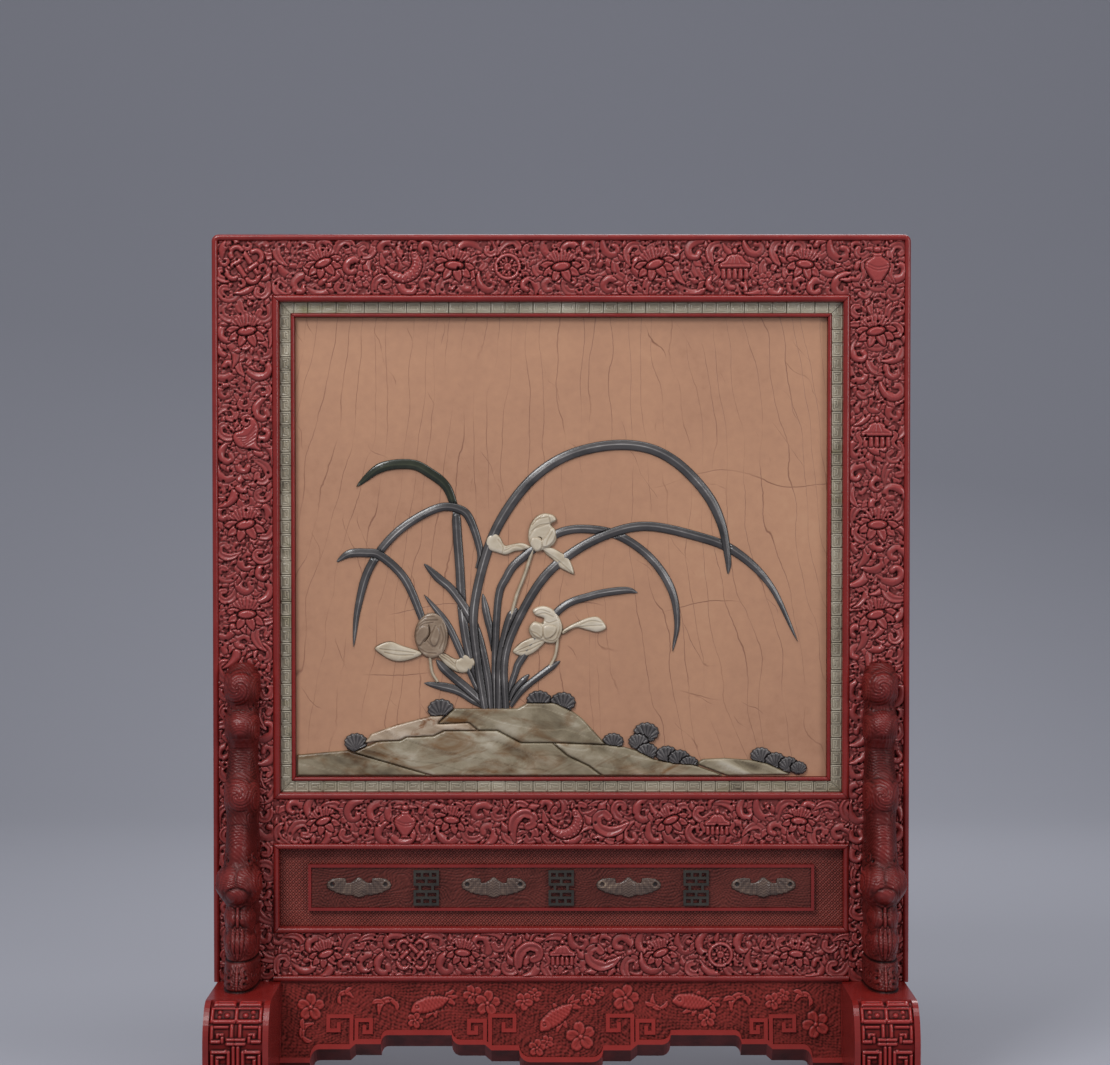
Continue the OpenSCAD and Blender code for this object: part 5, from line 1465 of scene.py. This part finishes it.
# Blade of two hollowed faces that meet in a crest with a painted highlight along it; it dips where a later
# leaf crosses over it
def addBlade(bm, q, wide, over=()):
    crest, sunk = bladeForm["crest"], bladeForm["sunk"]
    d = np.gradient(q, axis=0)
    side = np.column_stack([-d[:, 1], d[:, 0]]) / np.linalg.norm(d, axis=1, keepdims=True)
    u = np.linspace(1, -1, bladeForm["around"])
    off = np.abs(u - crest) / np.where(u > crest, 1 - crest, 1 + crest)
    across = np.concatenate([[1], u, [-1, 1]])
    swell = bladeForm["edge"] + bladeForm["crown"] * (0.45 * (1 - off) ** 1.4 + 0.55 * np.sqrt(1 - off ** 4))
    glint = 0.34 - 0.34 * off ** 8 + 0.1 * off * (1 - off) + 0.66 * np.exp(-(off / 0.13) ** 2)
    tone = np.concatenate([[0], glint, [0, 0]])
    rise = np.concatenate([[sunk], swell, [sunk, sunk]])
    thin = np.clip(wide / wide.max(), 0.45, 1)
    x, z = (q[:, k, None] + side[:, k, None] * wide[:, None] * across for k in (0, 1))
    height = np.where(rise > 0, rise * thin[:, None], rise)
    for line, widths in over:
        _, gap = lineReach(line, widths, x, z)
        height = np.where((gap < bladeForm["seam"]) & (height > 0), bladeForm["under"], height)
    made = addGrid(bm, np.dstack([x, inlay["groundY"] - height, z]), np.broadcast_to(tone, x.shape))
    bmesh.ops.remove_doubles(bm, verts=list(made), dist=1e-7)
    closeHoles(bm)


blades = [bladeLine(line, half) for half, line in leafLines]
for k, (q, wide) in enumerate(blades, 1):
    bm = bmesh.new()
    addBlade(bm, q, wide, blades[k:])
    finish = "darkLeafStone" if k == bladeForm["darkLeaf"] else "leafStone"
    makePiece(bm, "orchidLeaf%d" % k, finish, "dark_green_stone", "leaf_%d" % k, sharp=65)

# Flowers: outlines of the hood and two side petals, middle line of the stem and its half width
flowerForm = {
    "upper": {"parts": [[(-23.6, 202), (-29.5, 211), (-29.3, 223), (-24, 232.6), (-16, 236.8), (-7, 235.3),
                         (-3.8, 230), (-9, 226.6), (-5.1, 222), (-4, 214), (-7.6, 207.7), (-16, 203.5)],
                        [(-27, 206), (-35, 210), (-44, 209), (-51, 208), (-55, 215), (-60, 219), (-66, 216),
                         (-68, 210), (-66, 204), (-58, 201), (-50, 199), (-42, 202), (-35, 203)],
                        [(-18, 206), (-10, 206), (-1, 202), (7, 196), (12, 182), (5, 184), (-2, 188),
                         (-8, 195), (-14, 200)]],
              "stem": [(-25, 206), (-33, 181), (-40, 163), (-46, 141)], "half": 1.7},
    "lower": {"parts": [[(-25.7, 149.5), (-17.2, 153), (-7.6, 150), (-1.3, 142), (1.5, 132), (-2.3, 122.1),
                         (-8.7, 118.7), (-19.3, 121), (-26.6, 124.6), (-29.6, 132.5), (-24.6, 139),
                         (-18, 137.6), (-16, 141.6), (-23.5, 144.2)],
                        [(-13, 123), (-23, 125), (-33, 122), (-40, 117), (-44, 111), (-35, 107), (-27, 109),
                         (-20, 114)],
                        [(1, 131), (13, 138), (27, 143), (35, 142), (41, 133), (33, 129), (23, 131),
                         (13, 133), (2, 127)]],
              "stem": [(-3, 124), (-5, 109), (-10, 98)], "half": 1.5},
    "brown": {"parts": [[(-117, 147), (-106, 141), (-102, 126), (-106, 111), (-117, 105), (-128, 111),
                         (-133, 126), (-128, 141)],
                        [(-169, 115), (-156, 121), (-144, 117), (-128, 112), (-127, 108), (-140, 103),
                         (-152, 103), (-162, 108)],
                        [(-113, 110), (-105, 110), (-98, 106), (-93, 105), (-88, 109), (-80, 106),
                         (-78, 100), (-83, 94), (-88, 92), (-95, 93), (-103, 98), (-109, 104)]],
              "stem": [(-119, 107), (-117, 93), (-112, 84)], "half": 1.5},
}


# Fine cuts on the hoods and petals
petalCuts = {
    "upper": [[(-28.6, 216.5), (-23, 222.9), (-11.8, 227)], [(-27.4, 220.2), (-20, 225.7), (-10.8, 227.5)],
              [(-26.5, 226), (-20, 231.5), (-12, 233.5)], [(-23.7, 230), (-16.4, 234.8)],
              [(-8, 220), (-12, 213), (-13.5, 208.5)], [(-57, 213), (-52.6, 206), (-53.7, 199.6)],
              [(-51, 203), (-40.6, 207), (-31, 204)], [(-50, 205.5), (-41, 208), (-33, 206.5)],
              [(-16.6, 203.2), (-3.5, 194.6), (9.6, 183)], [(-14, 201.5), (-4, 192)]],
    "lower": [[(-14.5, 139), (-10.5, 137.6), (-3.5, 140)], [(-2.8, 142.9), (-1.2, 133), (-4, 124)],
              [(-24.5, 146.6), (-18.6, 149.6), (-10.3, 147)], [(-22, 144.8), (-15, 146.4), (-7, 143)],
              [(-27, 130), (-22, 128), (-18, 124.6)], [(-15, 122.8), (-8, 121.4), (-3.6, 124)],
              [(-42.5, 111), (-29.7, 116.7), (-16.6, 122)], [(-38, 111), (-28, 113.6), (-19, 118.6)],
              [(3, 129.5), (17.2, 134), (37, 135.5)], [(17, 136), (27, 139.6), (37, 138)]],
    "brown": [[(-131.7, 136.4), (-123.4, 142.2), (-114.4, 143.4)],
              [(-132.2, 132.5), (-123.4, 139.2), (-111.8, 140.2)],
              [(-131.7, 129.3), (-125.3, 136), (-116, 138)],
              [(-109.2, 134.5), (-106.6, 124.2), (-109.9, 114.5)], [(-107, 137), (-104.4, 125), (-107, 112)],
              [(-131, 118), (-128, 112), (-123, 107.6)], [(-128.5, 115), (-122, 111), (-113, 110)],
              [(-113.7, 135.1), (-116, 130.6), (-118.6, 127.4)], [(-121, 121), (-116.4, 116)]],
    "petal": [[(-164, 114), (-150, 112.5), (-132, 110.5)], [(-160, 111), (-148, 108.5), (-134, 108.5)],
              [(-109, 108), (-102, 103), (-96, 98)], [(-107, 109), (-101, 105), (-96, 100)],
              [(-94, 105), (-96, 99), (-93, 94)]],
}

# Lobes that stand up from the hoods, then the slits cut between them
petalFolds = {
    "upper": [[(-27.4, 202.7), (-28.8, 208.2), (-26.5, 213.7), (-21.9, 214.6), (-17.3, 211.9),
               (-17.3, 207.3), (-19.6, 202.7), (-23.7, 200.9)],
              [(-16.4, 206.4), (-17.3, 211), (-12.7, 217.4), (-9, 223), (-5.6, 223.6), (-4.5, 219.2),
               (-6.3, 212.8), (-10.9, 207.3)],
              [(-11.3, 236.2), (-7.2, 235.8), (-4.5, 232.1), (-5.8, 229.3), (-9.5, 228), (-10.4, 231.2)]],
    "lower": [[(-29.2, 136.5), (-27.4, 138.6), (-22.8, 138), (-18.2, 135.7), (-16.4, 129.3), (-18.2, 123.8),
               (-23.7, 125.6), (-28.3, 131.1)],
              [(-16.4, 132.9), (-10.9, 135.7), (-4.5, 133.9), (-5.4, 128.3), (-10.9, 123.8),
               (-15.5, 124.7)]],
    "brown": [[(-132, 126.1), (-130.4, 131.9), (-125.3, 134.5), (-120.8, 134.5), (-119.5, 130),
               (-120.8, 125.5), (-124, 122.2), (-126.6, 118.4), (-129.1, 117.1), (-131.6, 121)],
              [(-113.7, 134.5), (-110.5, 131.9), (-109.9, 125.5), (-112.4, 118.4), (-115.6, 116.5),
               (-118.6, 121.6), (-117.4, 126.5)]],
    "petal": [],
}
petalSlits = {"upper": [[(-20.6, 215.4), (-18.2, 214.4), (-17.6, 212.4)], [(-9.6, 226.4), (-6, 228.4)]],
              "lower": [[(-17.4, 141), (-16.6, 137), (-20, 138.4)]], "petal": [],
              "brown": [[(-119.8, 135.7), (-118.9, 130.6), (-119.5, 126.1), (-123.7, 120.3)]]}


petalForm = {"edge": 0.9, "spare": 1.9, "swell": 3.6, "foldHigh": 0.9, "foldReach": 2.4, "cutDeep": 0.35,
             "cutReach": 0.75, "slitDeep": 1.6, "slitHalf": 0.4, "lowest": 0.3, "belowTop": 0.2}


# Petals swell from their edge; lobes are raised on them, fine cuts and dark slits drawn into them, with
# painted shade along the lobes' edges, in the cuts and in the slits, and painted highlight just inside the
# lobes and beside the cuts
def petalRise(tall, name):
    cuts, slits = ([smoothLine(onGround(cut), 6) for cut in lines[name]]
                   for lines in (petalCuts, petalSlits))
    folds = [smoothLoop(onGround(fold)) for fold in petalFolds[name]]
    form = petalForm

    def rise(x, z, away):
        height = form["edge"] + (tall - form["spare"]) * rounded(away / form["swell"])
        tone = 0.6 * np.clip((away - 0.2) / 0.9, 0, 1)
        for fold in folds:
            near, inside, _, _ = outlineReach(fold, x, z)
            lobe = form["foldHigh"] * rounded(near / form["foldReach"])
            height += np.where(inside, lobe, 0) * np.clip(away / 1.0, 0, 1)
            tone = np.minimum(tone, 0.26 + 0.34 * near)
            tone = tone + np.where(inside, 0.1 * np.exp(-((near - 1.6) / 0.7) ** 2), 0)
        for line in cuts:
            _, gap = lineReach(line, np.full(len(line), 0.001), x, z)
            height -= form["cutDeep"] * np.clip(1 - gap / form["cutReach"], 0, 1)
            tone = np.minimum(tone, 0.24 + 0.4 * gap)
            tone = tone + 0.1 * np.exp(-((gap - 1.3) / 0.5) ** 2) * np.clip(away - 0.8, 0, 1)
        for line in slits:
            _, gap = lineReach(line, form["slitHalf"] * np.sin(np.linspace(0.3, 2.9, len(line))), x, z)
            height -= form["slitDeep"] * np.clip(0.6 - gap / 0.5, 0, 1)
            tone = np.minimum(tone, 0.14 + 0.7 * np.clip(gap, 0, 1))
        return np.clip(height, form["lowest"], tall - form["belowTop"]), np.clip(tone, 0, 1)
    return rise


# The parts named by number from one flower, with its stem where asked
def makeFlower(name, node, flower, parts, cuts, finish, slot, stem):
    bm = bmesh.new()
    if stem:
        addBlade(bm, *bladeLine(flower["stem"], flower["half"], True))
    for k in parts:
        outline = smoothLoop(onGround(flower["parts"][k]))
        rise = petalRise(inlay["petalHigh"] if k else inlay["hoodHigh"], cuts)
        cutSlab(bm, outline, inlay["petalPitch"], rise, inlay["groundY"], inlay["sunk"])
    makePiece(bm, name, finish, slot, node, sharp=60)


makeFlower("upperOrchid", "upper_flower", flowerForm["upper"], (0, 1, 2), "upper", "creamStone",
           "pale_stone", True)
makeFlower("lowerOrchid", "lower_flower", flowerForm["lower"], (0, 1, 2), "lower", "creamStone",
           "pale_stone", True)
makeFlower("brownOrchid", "brown_flower", flowerForm["brown"], (0,), "brown", "russetStone", "russet_stone",
           False)
makeFlower("brownOrchidPetals", "brown_petals", flowerForm["brown"], (1, 2), "petal", "creamStone",
           "pale_stone", True)

# Rocks: finish, slot, tone and outline
rockForm = [
    ("rockStone", "grey_green_stone", -0.3, [(-239, 18), (-193, 22), (-189, 20), (-117, -1), (-239, -1)]),
    ("rockStone", "grey_green_stone", -0.02,
     [(-189, 20), (-167, 30), (-146, 31), (-140, 34), (-116, 35), (-106, 40), (-58, 40), (-37, 29), (-8, 29),
      (6, 17), (25, 8), (37, -1), (-117, -1)]),
    ("rockStone", "grey_green_stone", -0.16,
     [(-97, 60), (-40, 60), (-31, 65), (-6, 65), (11, 57), (19, 51), (41, 27), (-8, 29), (-37, 29),
      (-58, 40), (-75, 40), (-84, 47), (-112, 46)]),
    ("veinedStone", "pale_stone", 0.0,
     [(-179, 28), (-172, 37), (-150, 45), (-119, 53), (-105, 54), (-112, 46), (-84, 47), (-75, 40),
      (-106, 40), (-116, 35), (-140, 34), (-146, 31), (-167, 30)]),
    ("rockStone", "grey_green_stone", -0.04,
     [(-8, 29), (41, 27), (58, 25), (68, 22), (84, 14), (103, 10), (120, 9), (148, -1), (37, -1), (25, 8),
      (6, 17)]),
    ("rockStone", "grey_green_stone", 0.04,
     [(122, 10), (128, 14), (148, 15), (175, 13), (187, 10), (209, 0), (150, -1)]),
]


# Rock slabs: polished faces with low ledges, light streaks and dark joints
def rockRise(seed, tone):
    rng = random.Random(seed)
    spans = ((0.04, 0.16), (0.1, 0.3), (0, 6.3), (0.05, 0.14))
    waves = [[rng.uniform(*span) for span in spans] for _ in range(7)]
    streak = 0.3 if seed % 2 else -0.3

    def rise(x, z, away):
        sway = 1.4 * np.sin(0.07 * x + 0.11 * z)
        rough = sum(amp * np.sin(a * x + b * z + start + sway) for a, b, start, amp in waves)
        ledge = 0.2 * np.abs(np.sin(0.16 * z + 0.05 * x + rough * 4))
        vein = np.exp(-(np.sin(0.21 * z + 0.045 * x + 2.2 * rough + seed) / 0.09) ** 2)
        carved = rough * 0.8 + ledge - 0.12 * vein
        height = inlay["stoneEdge"] + inlay["stoneSwell"] * rounded(away / inlay["rockRound"])
        height = height + carved * np.clip(away / 3, 0, 1)
        level = (0.58 + tone) * np.clip(away / 0.9, 0, 1) + 0.5 * rough + 0.2 * ledge
        return height, np.clip(level + streak * vein * np.clip(away / 2, 0, 1), 0, 1)
    return rise


for k, (finish, slot, tone, outline) in enumerate(rockForm, 1):
    bm = bmesh.new()
    cutSlab(bm, onGround(outline), inlay["rockPitch"], rockRise(k, tone), inlay["groundY"], inlay["sunk"])
    makePiece(bm, "rockSlab%d" % k, finish, slot, "rock_%d" % k, sharp=60)

# Fans of moss: middle and reach
mossForm = [(-186, 29, 11), (-109, 59, 12.5), (-20, 67, 12), (1.5, 65.5, 12), (47, 30, 10), (77, 38, 12),
            (70, 30, 9.5), (78, 21, 10), (96, 18, 10.5), (107, 14.5, 10.5), (116, 10, 9), (181, 17, 10),
            (194, 12.5, 10), (206, 9, 9.5), (215, 6, 8)]


# Scalloped outline of one fan
def tuftLine(cx, cz, r):
    turn = np.radians(np.arange(0, 360, 6))
    lobes = r * (0.9 + 0.1 * np.abs(np.cos(turn * 6.5)))
    return onGround(np.column_stack([cx + lobes * np.cos(turn), cz + 0.8 * lobes * np.sin(turn)]))


# Ribs spread from the foot of a fan; each fan is cut back by the rocks and by the next fan
def tuftRise(k):
    cx, cz, r = mossForm[k]
    foot = onGround([(cx, cz - 0.55 * r)])[0]
    over = [onGround(rock[3]) for rock in rockForm] + [tuftLine(*fan) for fan in mossForm[k + 1:]]

    def rise(x, z, away):
        rib = np.cos(np.arctan2(z - foot[1], x - foot[0]) * 18)
        height = inlay["stoneEdge"] + inlay["stoneSwell"] * rounded(away / inlay["mossRound"])
        height = height + 0.32 * rib * np.clip(away / 1.2, 0, 1)
        for outline in over:
            near, inside, _, _ = outlineReach(outline, x, z)
            height = np.where(inside | (near < 0.3), 0.2, height)
        tone = 0.06 + 0.4 * np.clip(away / 1.0, 0, 1) + 0.3 * rib * np.clip(away / 1.5, 0, 1)
        return height, np.clip(tone, 0, 1)
    return rise


bm = bmesh.new()
for k, fan in enumerate(mossForm):
    cutSlab(bm, tuftLine(*fan), inlay["mossPitch"], tuftRise(k), inlay["groundY"], inlay["sunk"])
makePiece(bm, "mossTufts", "mossStone", "dark_green_stone", "moss_tufts", sharp=60)
print("picture inlaid")


# Finishes of the solids that stay in view

nodeFinish = {"waist_panel": "waistLacquer", "front_apron": "lipLacquer", "back_apron": "lipLacquer",
              "back_panel": "darkLacquer", "picture_ground": "ochreGround", "picture_board": "boardWood",
              "spandrel_dowels": "bambooWood", "fret_plaques": "fretStone"}
for name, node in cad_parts.items():
    for held in node.material_slots:
        held.material = finishes[nodeFinish.get(name, "mouldingLacquer")]


# Stage, lights and camera

stageForm = {"half": 6.0, "back": 3.0, "rise": 4.0, "curve": 1.2, "steps": 12, "colour": (150, 151, 160),
             "rough": 0.9}
bm = bmesh.new()
bmesh.ops.create_grid(bm, x_segments=1, y_segments=1, size=stageForm["half"])
bmesh.ops.translate(bm, verts=bm.verts[:], vec=(0, stageForm["back"] - stageForm["half"], 0))
rear = [e for e in bm.edges if all(v.co.y > stageForm["back"] - 0.01 for v in e.verts)]
wall = [v for v in bmesh.ops.extrude_edge_only(bm, edges=rear)["geom"] if isinstance(v, bmesh.types.BMVert)]
bmesh.ops.translate(bm, verts=wall, vec=(0, 0, stageForm["rise"]))
fold = [e for e in bm.edges
        if all(abs(v.co.z) < 1e-6 and v.co.y > stageForm["back"] - 0.01 for v in e.verts)]
bmesh.ops.bevel(bm, geom=fold, offset=stageForm["curve"], affect="EDGES", segments=stageForm["steps"],
                profile=0.5, material=-1)
mesh = bpy.data.meshes.new("studioSweep")
bm.to_mesh(mesh)
bm.free()
mesh.polygons.foreach_set("use_smooth", [True] * len(mesh.polygons))
sweep = bpy.data.objects.new("studioSweep", mesh)
bpy.context.scene.collection.objects.link(sweep)
paper = Finish("sweepPaper")
paper.shader["Base Color"].default_value = (*shade(*stageForm["colour"]), 1)
paper.shader["Roughness"].default_value = stageForm["rough"]
mesh.materials.append(paper.material)

lamps = {"key": {"at": (-1.2, -1.9, 2.2), "to": (0, 0, 0.4), "size": (0.9, 0.8), "power": 40},
         "fill": {"at": (1.9, -1.7, 1.1), "to": (0, 0, 0.4), "size": (0.8, 1.2), "power": 16},
         "top": {"at": (0.1, -0.7, 2.3), "to": (0, 0, 0.5), "size": (2.2, 0.5), "power": 17},
         "rear": {"at": (0.4, 1.8, 1.9), "to": (0, 0, 0.45), "size": (1.6, 1.0), "power": 22}}
for name, lamp in lamps.items():
    data = bpy.data.lights.new(name + "Lamp", "AREA")
    data.shape = "RECTANGLE"
    data.size, data.size_y = lamp["size"]
    data.energy = lamp["power"]
    light = bpy.data.objects.new(name + "Lamp", data)
    light.location = lamp["at"]
    aim = Vector(lamp["at"]) - Vector(lamp["to"])
    light.rotation_euler = aim.to_track_quat("Z", "Y").to_euler()
    bpy.context.scene.collection.objects.link(light)

airForm = {"colour": (0.80, 0.82, 0.88, 1), "strength": 0.42}
world = bpy.data.worlds.new("studioAir")
bpy.context.scene.world = world
world.use_nodes = True
air = world.node_tree.nodes["Background"].inputs
air["Color"].default_value = airForm["colour"]
air["Strength"].default_value = airForm["strength"]

cameraForm = {"at": (-0.0056, -2.32, 0.568), "pitch": 1.46, "lens": 82.95, "sensor": 36}
data = bpy.data.cameras.new("camera")
data.sensor_width, data.lens = cameraForm["sensor"], cameraForm["lens"]
data.sensor_fit = "HORIZONTAL"
data.clip_end = 50
camera = bpy.data.objects.new("camera", data)
camera.location = cameraForm["at"]
camera.rotation_euler = (math.radians(90 - cameraForm["pitch"]), 0, 0)
bpy.context.scene.collection.objects.link(camera)
bpy.context.scene.camera = camera
bpy.context.scene.view_settings.view_transform = "Standard"

print("stage set")
